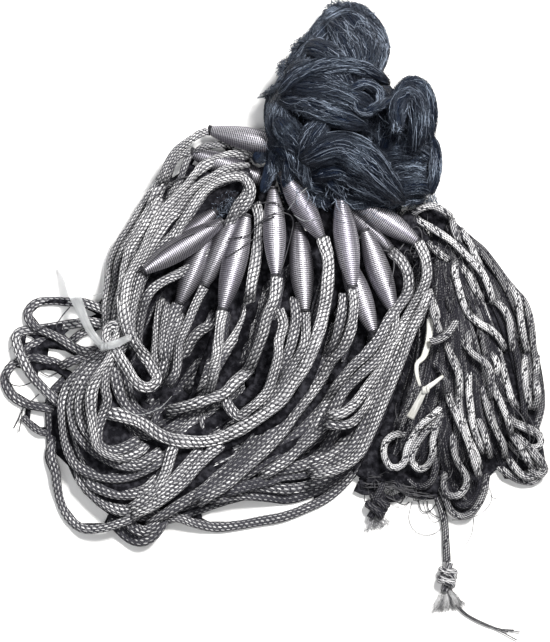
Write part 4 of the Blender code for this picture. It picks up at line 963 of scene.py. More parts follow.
# A lock is a bundle of the hank's filaments, from the lowest to the top one: its places, its half widths in steps at
# its start, middle and end, how high it domes in millimetres, and how many times it is twisted.
LOCKS = (
    ("bulb_rim", ((290, 84), (297, 62), (312, 42), (328, 22), (344, 12), (361, 15), (376, 30), (383, 52)), (8, 9, 8), 5, 0.1),
    ("left_rim", ((286, 80), (278, 98), (273, 114), (271, 132)), (7, 8, 7), 5, 0.1),
    ("dark_left", ((300, 104), (286, 122), (283, 140), (292, 158), (306, 176), (318, 194)), (14, 16, 12), 6, 0.2),
    ("dark_middle", ((320, 128), (350, 134), (382, 142)), (16, 18, 14), 6, 0.1),
    ("dark_low", ((290, 170), (310, 186), (334, 200)), (14, 16, 12), 5, 0.2),
    ("dark_foot", ((330, 190), (360, 200), (392, 206)), (10, 10, 8), 4, 0.2),
    ("right_foot", ((384, 198), (404, 197), (424, 198)), (8, 8, 7), 4, 0.2),
    ("left_foot", ((282, 150), (290, 172), (304, 190)), (12, 12, 9), 4, 0.2),
    ("bulb_left", ((334, 22), (313, 50), (298, 72), (286, 94)), (9, 11, 8), 6, 0.1),
    ("right_third", ((384, 188), (404, 186), (420, 186), (432, 190)), (8, 9, 7), 6, 0.1),
    ("right_second", ((380, 172), (402, 168), (420, 170), (433, 176)), (10, 11, 8), 8, 0.1),
    ("right_first", ((376, 154), (398, 150), (418, 152), (432, 160)), (9, 11, 7), 8, 0.1),
    ("right_edge", ((430, 136), (435, 150), (435, 172), (431, 192)), (5, 6, 5), 5, 0.2),
    ("left_lobe", ((291, 94), (281, 110), (278, 128), (284, 146)), (9, 12, 9), 8, 0.2),
    ("left_sweep", ((279, 118), (290, 132), (301, 146), (310, 160)), (11, 13, 9), 8, 0.2),
    ("bright_slope", ((302, 156), (306, 144), (316, 130), (328, 118)), (8, 11, 9), 8, 0.1),
    ("twisted", ((271, 140), (296, 158), (310, 178), (324, 192)), (7, 9, 8), 7, 2.0),
    ("bottom_low", ((312, 176), (340, 168), (366, 182), (396, 202)), (8, 12, 7), 7, 0.1),
    ("bottom", ((306, 158), (338, 148), (366, 162), (400, 198)), (12, 17, 8), 11, 0.15),
    ("centre", ((384, 96), (386, 112), (388, 130), (382, 148)), (9, 13, 10), 9, 0.1),
    ("bulb_edge", ((362, 80), (376, 66), (381, 44), (366, 22)), (9, 8, 9), 8, 0.1),
    ("bulb_first", ((362, 80), (366, 50), (358, 28), (347, 15)), (10, 14, 11), 10, 0.1),
    ("bulb_second", ((356, 80), (350, 54), (340, 34), (333, 24)), (10, 14, 10), 10, 0.1),
    ("bulb_third", ((350, 84), (336, 62), (320, 50), (310, 48)), (10, 14, 9), 9, 0.1),
    ("bulb_fourth", ((344, 88), (324, 76), (304, 69), (292, 72)), (9, 13, 8), 8, 0.1),
    ("middle", ((280, 98), (306, 100), (334, 112), (362, 122)), (11, 16, 11), 10, 0.15),
    ("middle_upper", ((292, 88), (322, 90), (350, 98), (374, 110)), (9, 12, 8), 8, 0.1),
    ("arch", ((280, 92), (300, 74), (332, 66), (364, 70), (386, 82)), (6, 9, 6), 8, 0.3),
    ("curl", ((350, 90), (364, 84), (377, 90), (378, 103), (367, 112), (356, 106), (362, 98)), (5, 5, 4), 5, 0.4),
    ("pinch", ((366, 112), (374, 108), (384, 104), (394, 98)), (5, 5, 4), 5, 0.4),
    ("crown_fill", ((404, 98), (408, 116), (412, 134), (408, 152)), (10, 13, 10), 9, 0.1),
    ("crown_outer", ((396, 112), (400, 95), (411, 84), (422, 90), (428, 108), (428, 138)), (7, 9, 8), 9, 0.1),
    ("crown_inner", ((397, 128), (398, 108), (407, 97), (415, 102), (419, 118), (416, 144)), (8, 11, 9), 10, 0.1),
    ("neck_left", ((286, 138), (268, 150), (254, 160)), (9, 9, 6), 4, 0.5),
    ("neck_float", ((278, 148), (270, 170), (262, 192)), (8, 7, 4), 4, 0.6),
    ("neck_six", ((292, 160), (288, 174), (286, 188)), (8, 7, 5), 4, 0.4),
    ("neck_eight", ((330, 178), (340, 190), (344, 204)), (8, 7, 5), 4, 0.4),
)
# Where along a lock the painted highlight sits: its light-coloured filaments gather there.
GLOW = {
    "bulb_first": 0.62, "bulb_second": 0.66, "bulb_third": 0.45, "bulb_fourth": 0.4, "arch": 0.62, "middle": 0.45,
    "middle_upper": 0.6, "bottom": 0.66, "bottom_low": 0.62, "right_first": 0.74, "right_second": 0.72,
    "right_third": 0.68, "crown_outer": 0.66, "crown_inner": 0.6, "centre": 0.6, "left_sweep": 0.7, "left_lobe": 0.3,
}
# The hank's outline where loose filaments stand off it.
FRIZZ = ((263, 96), (278, 82), (281, 66), (291, 56), (295, 45), (310, 33), (321, 19), (329, 5), (345, 3), (365, 9), (382, 25), (390, 49), (387, 66))

BULB_RIM = ((264, 150), (261, 122), (265, 97), (277, 80), (284, 62), (294, 46), (310, 32), (322, 17), (334, 6), (350, 4), (367, 11), (382, 26), (388, 46), (385, 64))
LOBE_RIM = ((401, 84), (410, 78), (421, 79), (431, 89), (436, 108), (435, 138), (437, 166), (434, 188))


def route3(places, pitch):
    """A smooth route in metres through plan places with heights."""
    p = np.asarray(places, float)
    points = np.column_stack([metres(p[:, :2]), p[:, 2] * MM])
    path, at = curve_through(points, pitch * MM)
    return path


def overhand(pile, middle, along, size, thick, rng, cover_and_shade=0.6, turns=2.4, through=0.0):
    """A knot: a line wound round itself, its turns crossing; through is the line's thickness inside it."""
    t = np.linspace(0, 1, 54)
    a = t * 2 * math.pi * turns
    along = np.array([along[0], along[1], 0.0]) / np.hypot(along[0], along[1])
    side = np.array([along[1], -along[0], 0.0])
    up = np.array([0.0, 0.0, 1.0])
    long_, wide, high = size
    if through:
        core = np.asarray(middle) + along * (np.linspace(-1, 1, 14)[:, None] * (long_ + 0.0012))
        pile.tube(core, through, through * 0.9, sides=10, seed=float(rng.random()), cover_and_shade=cover_and_shade * 0.7)
    body = (
        np.asarray(middle)
        + along * ((t - 0.5)[:, None] * long_ * 1.15 + (np.sin(a * 0.5) * long_ * 0.22)[:, None])
        + side * (np.cos(a) * (wide - thick))[:, None]
        + up * (np.sin(a) * (high - thick))[:, None]
    )
    pile.tube(body, thick, thick, sides=8, seed=float(rng.random()), cover_and_shade=cover_and_shade)


def tuft(pile, root, tip, wide_root, wide_tip, high, count, rng, thick=(0.16, 0.30), curl=2.2):
    """A frayed end: many fine fibres that leave a root and spread out."""
    root, tip = metres([root, tip])
    ahead = tip - root
    length = np.linalg.norm(ahead)
    ahead /= length
    side = np.array([ahead[1], -ahead[0]])
    for k in range(count):
        a, b = rng.uniform(-1, 1), rng.uniform(-1, 1)
        reach = rng.uniform(0.62, 1.04) * length
        spread = np.array([a * wide_root * 0.45, a * wide_root * 0.7, a * (wide_root + wide_tip) / 2 * 0.8, (a + b * 0.25) * wide_tip * 0.85]) * STEP
        lift_ = np.array([0.0, 0.3, 0.5, 0.2]) * high * rng.uniform(0.4, 1.6) + 0.8
        t = np.array([-0.12, 0.2, 0.6, 1.0]) * reach
        wave = rng.normal(0, curl * 0.28, (4, 2)) * MM
        xy = root + ahead * t[:, None] + side * spread[:, None] + wave
        z = np.clip((high * 0.5 + b * high * 0.4) * np.array([1, 1, 0.8, 0.5]) + lift_ * 0.3, 0.4, None) * MM
        path, at = curve_through(np.column_stack([xy, z]), 0.0022)
        w = rng.uniform(*thick) * MM * np.linspace(1.0, 0.45, len(path))
        tone = 0.55 + 0.45 * math.sin(a * 8.0 + 1.0) + rng.normal(0, 0.12)
        pile.tube(path, w, w, sides=3, seed=float(np.clip(tone, 0, 1)), cover_and_shade=float(rng.uniform(0.3, 1)))


def thread(pile, places, radius=0.32, z=None, rng=None, pitch=2.0, over=0.4):
    """A fine twine or filament that lies on what is below it, or at given heights."""
    p = np.asarray(places, float)
    if p.shape[1] == 3:
        path = route3(p, pitch)
    else:
        xy, at = curve_through(metres(p), pitch * MM)
        need = BED.at(xy) + radius + over
        need = drape(need, pitch, 25.0)
        path = np.column_stack([xy, blur(need, 1.0) * MM])
    r = radius * MM
    pile.tube(path, r, r, sides=5, seed=0.85 if rng is None else float(rng.random()))


# ------------------------------------------------------------------ the making
make_stage()
rng = np.random.default_rng(20)
float_line, lead_line, cover_look = make_float_line(), make_lead_line(), make_float_cover()
black_twine = make_thread("twine_black", (0.010, 0.010, 0.013, 1), 0.55, (0.03, 0.03, 0.036, 1))
clear_thread = make_thread("filament_clear", (0.50, 0.51, 0.52, 1), 0.30, (0.30, 0.32, 0.34, 1))
navy_hair = make_thread("netting_filament", (0.002, 0.003, 0.008, 1), 0.30, (0.30, 0.35, 0.44, 1), (0.62, 0.78, 1.0, 1))
pale_fibre = make_thread("frayed_fibre", (0.07, 0.07, 0.08, 1), 0.5, (0.72, 0.72, 0.73, 1))
dull_fibre = make_thread("frayed_fibre_dull", (0.05, 0.05, 0.06, 1), 0.5, (0.42, 0.42, 0.44, 1))
core_look, netting_look, plastic_look, film_look = make_core(), make_netting(), make_plastic(), make_film()
depth_look = make_netting_core()

# cords first
loose = {}
for name, (radius, places) in ENDS.items():
    loose[name] = route3(places, 2.0)


def path_length(path):
    return float(np.linalg.norm(np.diff(path, axis=0), axis=1).sum())


CAD_TOP = make_base()
strands = {}


JOBS = []          # strands laid and not yet meshed


def place_strand(pile, item, wide, high, sides, box=1.0, groove=0.0, bend=45.0, dive=7.0, lead_=False, stamp=True, cap=None):
    """Lays one strand; the ends that aren't held by a float dip under their neighbours."""
    points = np.asarray(item["places"], float)
    start, end = item.get("start"), item.get("end")
    path, lean, at = lay(points, wide, high, bend=bend, pitch=2.0, start=start, end=end, stamp=stamp, cap=cap)
    gone = at[-1] - at
    dip = np.zeros(len(path))
    if start is None:
        dip += dive * np.clip(1 - at / 9.0, 0, 1) ** 2
    if end is None:
        dip += dive * np.clip(1 - gone / 9.0, 0, 1) ** 2
    roll = np.clip(blur(np.arctan2(lean, wide * 2.0), 2.0), -0.6, 0.6)
    seed = float(rng.random())
    wander = np.interp(at, np.linspace(0, at[-1], max(4, int(at[-1] / 18))), rng.normal(0, 0.10, max(4, int(at[-1] / 18))))
    turn = math.radians(item.get("roll", 0)) + wander
    width = wide * (1 + 0.05 * np.sin(at / 7.0 + seed * 9))
    if lead_:
        u = at / 2.0
    else:
        x_, y_ = path[:, 0] / STEP + MIDDLE[0], MIDDLE[1] - path[:, 1] / STEP
        tight = 1 - (1 - np.interp(y_, (325, 425), (0.70, 1.0))) * np.clip((x_ - 84) / 20, 0, 1)
        long_ = item["long"] * 0.78 * (0.5 + tight / 2)
        u = np.concatenate([[0], np.cumsum(np.diff(at) * 2 / (long_[1:] + long_[:-1]))])
    cover_and_shade = np.clip(item["cover_and_shade"] + 0.12 * np.interp(at, np.linspace(0, at[-1], 6), rng.normal(0, 1, 6)) + (0 if lead_ else 0.9 * (1 - tight)), 0, 1.3)
    JOBS.append(dict(pile=pile, name=item.get("name"), path=path, dip=dip, high=high, width=width, roll=turn - roll, sides=sides, seed=seed, cover_and_shade=cover_and_shade, u=u + seed * 7, box=box, groove=groove, held=item.get("float")))


def fit_height():
    """How much the pile is pressed together at each cell so that its top comes to the CAD's; order is kept."""
    wanted = np.maximum(soften(CAD_TOP, 6.0), 6.0)
    have = np.maximum(soften(BED.high, 6.0), 1.0)
    return np.clip(soften(np.minimum(1.0, (wanted + 3.0) / have), 7.0), 0.35, 1.0)


def mesh_strands(press):
    for job in JOBS:
        path = job["path"].copy()
        scale = blur(grid_at(press, path), 4.0)
        path[:, 2] = path[:, 2] * scale - job["dip"] * MM
        path[:, 2] = np.maximum(path[:, 2], 0.85 * job["high"] * MM)
        if job["name"]:
            strands[job["name"]] = path
        # painted shade: where the pile lies over a strand, its cover number is lowered, which darkens its colour; lead
        # strands darken sooner
        deep = grid_at(BED.high * press, path) - path[:, 2] * 1000 - job["high"]
        shade = blur(np.clip(1.15 - np.maximum(deep, 0) / (10.0 if job["pile"].name.startswith("lead") else 20.0), 0.08, 1.0), 2.0)
        every = 1 if job["name"] else 2
        take = np.arange(0, len(path), every)
        job["pile"].tube(path[take], job["width"][take] * MM, job["high"] * MM, roll=job["roll"][take], sides=job["sides"], seed=job["seed"], cover_and_shade=(job["cover_and_shade"] * shade)[take], u=job["u"][take], box=job["box"], groove=job["groove"])


def filler_float():
    """Turns of float line inside the coil, one after the other up the rails."""
    inner = np.array([[r[1][0], r[1][1]] for r in RAILS], float)
    outer = np.array([[r[1][2], r[1][3]] for r in RAILS], float)
    names = [r[0] for r in RAILS]
    for k in range(30):
        t = np.clip(rng.uniform(0.05, 0.93) + rng.normal(0, 0.05, len(names)), 0.03, 0.95)
        places = inner + (outer - inner) * t[:, None]
        first = rng.integers(0, 3)
        last = len(names) - rng.integers(0, 3)
        places = clear_of_windows(places[first:last])
        # painted shade: the inner turns get low cover numbers, which darken their dashes
        yield dict(places=places, cover_and_shade=float(rng.uniform(0.08, 0.5)), roll=float(rng.uniform(-40, 40)), long=float(rng.uniform(4.8, 6.4)), start=None, end=None)


def filler_lead():
    for k in range(44):
        hx, hy, fx, fy, gape, bow, low, high = LEAD_LOOPS[k % len(LEAD_LOOPS)]
        head = np.array([hx, hy]) + rng.normal(0, 2.5, 2)
        foot = np.array([fx, fy]) + rng.normal(0, 4.0, 2)
        run = foot - head
        side = np.array([run[1], -run[0]]) / np.hypot(*run)
        places = []
        for t, out in ((0.02, -0.3), (0.25, -0.5), (0.55, -0.6), (0.82, -0.6), (1.0, 0.0), (0.82, 0.6), (0.55, 0.6), (0.25, 0.5), (0.02, 0.3)):
            places.append(head + run * t + side * (gape * 0.9 * out + bow * 4 * t * (1 - t) + rng.normal(0, 1.5)))
        # painted shade: the first 26 inner turns get very low cover numbers, which paint them near-black; the rest are
        # lighter
        yield dict(places=np.array(places), cover_and_shade=float(rng.uniform(0.15, 0.55) if k >= 26 else rng.uniform(0.0, 0.35) ** 1.6), start=None, end=None)


# lead line and float line, the buried turns first
float_fill = Pile("float_line_turns", float_line, "float_line_braid")
lead_fill = Pile("lead_line_turns", lead_line, "lead_line_braid")
LOW_CAP = np.maximum(soften(CAD_TOP, 5.0) * 0.55 - 5.0, 2.0)
LEAD_CAP = np.maximum(soften(CAD_TOP, 5.0) * 0.72 - 5.0, 2.0)
GUESS_CAP = np.maximum(soften(CAD_TOP, 5.0) * 0.66 - 5.0, 2.5)
for item in filler_float():
    place_strand(float_fill, item, 4.0, 2.2, 6, cap=LOW_CAP)
for item in filler_lead():
    place_strand(lead_fill, item, LEAD * 0.9, LEAD * 0.9, 6, lead_=True, cap=LEAD_CAP)
for item in GUESSED_LOW:
    place_strand(float_fill, item, item["wide"], item["high"], 10, box=0.8, cap=GUESS_CAP)
print("filled to", round(float(BED.high.max()), 1), "mm; CAD", round(float(CAD_TOP.max()), 1))

lead_pile = Pile("lead_line_strands", lead_line, "lead_line_braid")
for group in (LEAD_LOW, LEAD_MIDDLE, LEAD_TOP):
    for item in group:
        place_strand(lead_pile, item, LEAD, LEAD, 9, lead_=True)

float_pile = Pile("float_line_strands", float_line, "float_line_braid")
bight_pile = Pile("float_line_bight_look", float_line, "float_line_braid")


def put(group, pile=None):
    for item in group:
        place_strand(pile or float_pile, item, item["wide"], item["high"], 12, box=0.8, groove=0.12)


knot_pile = Pile("twine_knots", black_twine, None)
LAID_FLOATS = {}


def put_float(name):
    """Lays a float as a straight stiff piece."""
    tx, ty, tz, hx, hy, hz, round_ = dict(FLOATS)[name]
    tail, head = metres([(tx, ty), (hx, hy)])
    t = np.linspace(0, 1, 121)
    xy = tail + (head - tail) * t[:, None]
    z = tz + (hz - tz) * t
    need = BED.needs(xy[10:-10:4], round_ * 0.8, round_ * 0.8) - 3.0
    z = z + max(0.0, (need - z[10:-10:4]).max())
    BED.stamp(xy[::3], z[::3] - 0.3, round_ * 0.95, round_ * 0.95)
    LAID_FLOATS[name] = (xy, z, round_)


# How lit each float is painted: low numbers paint shade onto the floats that lie deep or under others.
MESHED_FLOATS = {}
PAINTED_FLOAT_LIGHT = {
    "01": 0.60, "02": 0.30, "03": 0.42, "04": 0.75, "05": 0.90, "06": 0.85, "07": 0.55, "08": 0.95,
    "09": 0.95, "10": 0.65, "11": 0.70, "12": 0.35, "13": 0.35, "14": 0.25, "15": 0.35,
}


def mesh_float(name, press):
    xy, z, round_ = LAID_FLOATS[name]
    n = len(xy)
    t = np.linspace(0, 1, n)
    reach = np.linalg.norm(xy[-1] - xy[0])
    ahead = (xy[-1] - xy[0]) / reach
    scale = grid_at(press, xy)
    low, high = z[0] * scale[:12].mean(), z[-1] * scale[-12:].mean()
    z = low + (high - low) * t
    z = z + max(0.0, round_ * 0.8 - z.min())
    shape = FLOAT_END * 1000 + (round_ - FLOAT_END * 1000) * np.sin(math.pi * t).clip(0, 1) ** 0.86
    ribs = 1 + 0.012 * np.cos(2 * math.pi * np.arange(n) * reach * 1000 / (n - 1) / 1.4)
    path = np.column_stack([xy, z * MM])
    MESHED_FLOATS[name] = (xy, z, shape)
    pile = Pile("float_%s_cover" % name, cover_look, "float_cover")
    pile.tube(path, shape * ribs * MM, shape * ribs * 0.96 * MM, sides=26, seed=float(rng.random()), cover_and_shade=PAINTED_FLOAT_LIGHT[name], u=t * reach * 1000 / 1.4)
    pile.build(replaces=("float_" + name,))
    for k in (2, -3):
        middle = path[k]
        turns = np.linspace(0, 2 * math.pi * 2.2, 30)
        r = (shape[k] + 0.5) * MM
        side = np.array([ahead[1], -ahead[0], 0.0])
        ring = middle + side * (np.cos(turns) * r)[:, None] + np.array([0, 0, 1.0]) * (np.sin(turns) * r)[:, None]
        ring = ring + np.array([ahead[0], ahead[1], 0]) * (np.linspace(-1, 1, 30) * 0.0011)[:, None]
        knot_pile.tube(ring, 0.00055, 0.00055, sides=5, seed=float(rng.random()))


put(LOW_STRANDS)
put(LEFT_LOOPS)
put_float("01")
put_float("02")
put_float("14")
put(FAN)
put_float("13")
put_float("12")
put(MIDDLE_LEFT)
put(HOOK)
put(DIAGONALS)
put_float("03")
put_float("15")
put_float("11")
put_float("04")
put_float("10")
put_float("09")
put(RIGHT_BUNDLE)
put_float("07")
put_float("05")
put_float("08")
put_float("06")
put(CENTRE)
put(BIGHT, bight_pile)

PRESS = fit_height()
print("laid to", round(float(BED.high.max()), 1), "mm; pressed at most to", round(float(PRESS.min()), 2))
mesh_strands(PRESS)
for name, _ in FLOATS:
    mesh_float(name, PRESS)
for places, light in (
    (((430, 291, 36), (431, 300, 43), (432.5, 310, 48.6), (436.6, 323, 50.5), (440, 332, 50)), 0.55),
    (((383, 484, 6), (380, 491, 10), (376, 498, 10), (374, 506, 7)), 0.12),
    (((443, 377, 47), (446, 384, 44), (447, 392, 40)), 0.3),
):
    path = route3(places, 1.6)
    lead_pile.tube(path, LEAD * MM, LEAD * MM, sides=10, seed=float(rng.random()), cover_and_shade=light, u=np.linspace(0, path_length(path) / 0.002, len(path)))
BED.high = BED.high * PRESS
float_pile.build(replaces=("float_line_coil",))
float_fill.build()
bight_piece = bight_pile.build(replaces=("float_line_bight",))
lead_pile.build(replaces=("lead_line_coil",))
lead_fill.build()
# the inner turns wear the near-black core material: painted shade for the depth between the strands
for name, node, low_ in (("float_core", "float_line_coil", 0.55), ("lead_core", "lead_line_coil", 0.55)):
    core = lay_core(name, node, core_look, 0.0018, low_)

# hank
hank_body = Pile("netting_body", netting_look, "monofilament")
hair = [Pile("netting_hair_" + k, navy_hair, "monofilament") for k in ("one", "two", "three")]
hank_core = lay_core("netting_core", "netting_hank", depth_look, 0.0030, 0.72)
HANK_JOBS = []
for name, places, widths, dome, twist in LOCKS:
    xy, at = curve_through(metres(places), 0.002)
    s = np.linspace(0, 1, len(xy))
    wide = np.interp(s, (0, 0.5, 1), widths) * STEP * 1000
    need = np.array([BED.needs(xy[k:k + 1], wide[k] * 0.7, dome * 0.25)[0] for k in range(len(xy))])
    z = blur(drape(need, 2.0, 30.0), 2.0)
    for k in range(len(xy)):
        BED.stamp(xy[k:k + 1], z[k:k + 1] - dome * 0.35, round(float(wide[k]), 0), dome * 0.8)
    HANK_JOBS.append((name, xy, z, wide, dome, twist, at))
hank_press = fit_height()
HAIRS = 33.0
HAIR_BED = soften(BED.high * hank_press, 0.8)
HANK_HERE = rough_tops("netting_hank") > 0
for number, (name, xy, z, wide, dome, twist, at) in enumerate(HANK_JOBS):
    n = len(xy)
    s = np.linspace(0, 1, n)
    ends = np.clip(np.minimum(s, 1 - s) / 0.14, 0, 1)
    z = z * blur(grid_at(hank_press, xy), 2.0) - (1 - ends) ** 2 * dome * 0.7
    z = np.maximum(z, 1.2)
    path = np.column_stack([xy, z * MM])
    ahead = np.gradient(path, axis=0)
    ahead /= np.linalg.norm(ahead, axis=1, keepdims=True) + 1e-12
    side = np.cross(ahead, [0, 0, 1.0])
    side /= np.linalg.norm(side, axis=1, keepdims=True) + 1e-12
    up = np.cross(side, ahead)
    full = 0.55 + 0.45 * np.sqrt(ends)
    hank_body.tube(path, wide * full * 0.94 * MM, np.minimum(dome * full, z * 0.98 + 1.0) * 0.9 * MM, sides=16, seed=float(rng.random()))
    count = int(HAIRS * np.mean(wide) / (STEP * 1000))
    # painted highlight: some filaments get light colours, most in a short stretch round the lock's GLOW place; the
    # locks named dark get fewer
    shine = rng.uniform(0, 1, 7) ** 1.6 * (0.4 if name.startswith("dark") else 1.0)
    for k in range(count):
        lit = rng.random() < 0.62 * shine[k % len(shine)]
        if lit and rng.random() < 0.8:
            middle, reach = rng.normal(GLOW.get(name, 0.55), 0.13), rng.uniform(0.07, 0.20)
            lo, hi = middle - reach, middle + reach
        else:
            lo, hi = sorted(rng.uniform(-0.15, 1.15, 2))
            if hi - lo < 0.4:
                middle = (lo + hi) / 2
                lo, hi = middle - 0.22, middle + 0.22
        i, j = int(np.clip(lo, 0, 1) * (n - 1)), int(np.clip(hi, 0, 1) * (n - 1))
        if j - i < 4:
            continue
        take = np.unique(np.append(np.arange(i, j, 2), j))
        m = len(take)
        t = np.linspace(0, 1, m)
        r = (rng.uniform(0.15, 0.25) if lit else rng.uniform(0.12, 0.20)) * MM
        stray = rng.random() < 0.24
        if rng.random() < 0.42:
            # a filament that lies over the locks around it
            off = rng.uniform(-1.4, 1.4) + rng.normal(0, 0.20) * np.sin(t * math.pi * rng.uniform(0.6, 3.0)) + rng.normal(0, 0.42) * (t - 0.5)
            xy_ = xy[take] + side[take][:, :2] * (off * wide[take] * MM)[:, None]
            high_ = blur(grid_at(HAIR_BED, xy_), 0.8) + rng.uniform(0.0, 0.9) + stray * np.sin(t * math.pi) * rng.uniform(0.8, 2.6)
            place = np.column_stack([xy_, np.maximum(high_, 0.5) * MM])
            if HANK_HERE[np.clip(np.rint(xy_[:, 1] * 1000 - BED.y0).astype(int), 0, BED.ny - 1), np.clip(np.rint(xy_[:, 0] * 1000 - BED.x0).astype(int), 0, BED.nx - 1)].mean() < 0.8:
                continue
        else:
            angle = rng.uniform(0.02, 0.98) * math.pi + math.pi * twist * s[take] + rng.normal(0, 0.26) * np.sin(t * math.pi) + rng.normal(0, 0.30) * (t - 0.5)
            out = 1.0 + rng.uniform(-0.01, 0.06) + stray * rng.uniform(0.05, 0.20) * np.sin(t * math.pi)
            wave = rng.normal(0, 0.65) * np.sin(t * math.pi * rng.uniform(1, 6) + rng.uniform(0, 6))
            place = path[take] + side[take] * ((np.cos(angle) * wide[take] * full[take] * out + wave) * MM)[:, None]
            place = place + up[take] * (np.abs(np.sin(angle)) * dome * full[take] * out * MM)[:, None]
        place[:, 2] = np.maximum(place[:, 2], 0.0005)
        hair[(number + k) % 3].tube(place, r, r, sides=3, seed=float(rng.uniform(0.40, 1.0) if lit else rng.uniform(0.0, 0.16)))
edge, gone = curve_through(metres(FRIZZ), 0.001)
outward = np.gradient(edge, axis=0)
outward = np.stack([-outward[:, 1], outward[:, 0]], 1)
outward /= np.linalg.norm(outward, axis=1, keepdims=True) + 1e-12
for k in range(1000):
    i = rng.integers(0, len(edge))
    o, along = outward[i], np.array([outward[i][1], -outward[i][0]])
    size, bend_ = rng.uniform(1.5, 5.6), rng.choice([-1, 1])
    if i > len(edge) * 0.72:
        size *= 0.5
    t = np.linspace(0, rng.uniform(2.0, 4.6), 8)
    xy = edge[i] - o * 0.0030 + (o * (np.sin(t / 2) * size)[:, None] + along * (bend_ * (1 - np.cos(t)) * size * 0.45)[:, None]) * MM
    z = float(grid_at(HAIR_BED, (edge[i] - o * 0.006)[None])[0]) * rng.uniform(0.62, 1.0) + np.cumsum(rng.normal(0, 0.5, 8))
    r = rng.uniform(0.18, 0.34) * MM
    hair[k % 3].tube(np.column_stack([xy, z * MM]), r, r, sides=3, seed=float(rng.random()) * 0.3)
# the underside: turns drawn in beneath the outline, down to the floor
for rim_places, hairs_on in ((BULB_RIM, 44), (LOBE_RIM, 26)):
    rim, gone = curve_through(metres(rim_places), 0.003)
    rim_out = np.gradient(rim, axis=0)
    rim_out = np.column_stack([blur(-rim_out[:, 1], 3.0), blur(rim_out[:, 0], 3.0)])
    rim_out /= np.linalg.norm(rim_out, axis=1, keepdims=True) + 1e-12
    along = np.linspace(0, 1, len(rim))
    thin = np.sqrt(np.clip(np.minimum(along, 1 - along) / 0.12, 0.05, 1.0))
    for inset, middle, half, rise in ((7.0, 18.5, 5.5, 5.5), (13.5, 13.0, 6.0, 6.0), (20.0, 7.5, 7.0, 6.5)):
        line = rim - rim_out * ((inset + 0.8 * np.sin(along * 17 + inset)) * MM)[:, None]
        level = middle + 1.3 * np.sin(along * 13 + middle)
        hank_body.tube(np.column_stack([line, level * MM]), half * thin * 0.94 * MM, rise * thin * 0.92 * MM, sides=10, seed=float(rng.random()))
        for k in range(hairs_on):
            i = int(rng.integers(0, len(line) - 12))
            take = np.arange(i, min(i + int(rng.integers(11, 40)), len(line)), 2)
            t = np.linspace(0, 1, len(take))
            angle = rng.uniform(-1.3, 0.7) + rng.normal(0, 0.7) * (t - 0.5) + rng.normal(0, 0.3) * np.sin(t * 9)
            place = np.column_stack([line[take] + rim_out[take] * (np.cos(angle) * half * thin[take] * MM)[:, None], (level[take] + np.sin(angle) * rise * thin[take]) * MM])
            place[:, 2] = np.maximum(place[:, 2], 0.0005)
            hair[k % 3].tube(place, 0.00018, 0.00018, sides=3, seed=float(rng.uniform(0.3, 0.8) if rng.random() < 0.2 else rng.uniform(0.0, 0.15)))
for k in range(150):
    x, y = rng.uniform(409, 436), rng.uniform(192, 199)
    p = np.array([[x, y, rng.uniform(6, 14)], [x + rng.normal(0, 2), y + 4, rng.uniform(6, 12)], [x + rng.normal(0, 3), y + rng.uniform(6, 12), rng.uniform(4, 9)]])
    hair[k % 3].tube(route3(p, 2.0), 0.00018, 0.00018, sides=3, seed=float(rng.random()))
for k in range(260):
    x, y = rng.uniform(214, 238), rng.uniform(190, 216)
    turn = rng.uniform(0, 2 * math.pi)
    d = np.array([math.cos(turn), math.sin(turn)])
    p = np.array([[x, y, 16.0], [x + d[0] * 4 + rng.normal(0, 2), y + d[1] * 4 + rng.normal(0, 2), 19.0], [x + d[0] * 8, y + d[1] * 8, 16.5]])
    p[:, 2] += rng.uniform(-2, 3)
    hair[k % 3].tube(route3(p, 2.0), 0.00016, 0.00016, sides=3, seed=float(rng.random()) * 0.7)
BED.high = BED.high * hank_press
for name, (xy, z, shape) in MESHED_FLOATS.items():
    for k in range(0, len(xy), 3):
        BED.stamp(xy[k:k + 1], z[k:k + 1], round(float(shape[k]), 0), float(shape[k]))
curl_line, gone = curve_through(metres([(268, 140), (284, 162), (300, 182), (314, 196), (345, 194), (372, 202), (402, 207)]), 0.001)
for k in range(210):
    at_ = curl_line[rng.integers(0, len(curl_line))] + rng.normal(0, 0.0042, 2)
    turn = rng.uniform(0, 2 * math.pi)
    size = rng.uniform(3.0, 10.0) * MM
    a_ = np.linspace(0, rng.uniform(0.7, 2.4), 9) + turn
    xy = at_ + np.column_stack([np.cos(a_) * size * rng.uniform(0.6, 1.2), np.sin(a_) * size]) - np.array([math.cos(turn), math.sin(turn)]) * size
    z = np.maximum(blur(BED.at(xy), 1.0) + rng.uniform(0.2, 2.4), 1.0)
    hair[k % 3].tube(np.column_stack([xy, z * MM]), 0.00019, 0.00019, sides=3, seed=float(rng.uniform(0.35, 1.0) if rng.random() < 0.28 else rng.uniform(0.0, 0.15)))
for k in range(30):
    x, y = rng.uniform(296, 356), rng.uniform(184, 200)
    turn = rng.normal(1.4, 0.8)
    run = rng.uniform(5, 13)
    thread(hair[k % 3], [(x, y), (x + math.cos(turn) * run * 0.5 + rng.normal(0, 1.2), y + math.sin(turn) * run * 0.5), (x + math.cos(turn) * run, y + math.sin(turn) * run)], 0.2, over=0.8)
hank_body.build(replaces=("netting_hank",))
for pile in hair:
    pile.build()

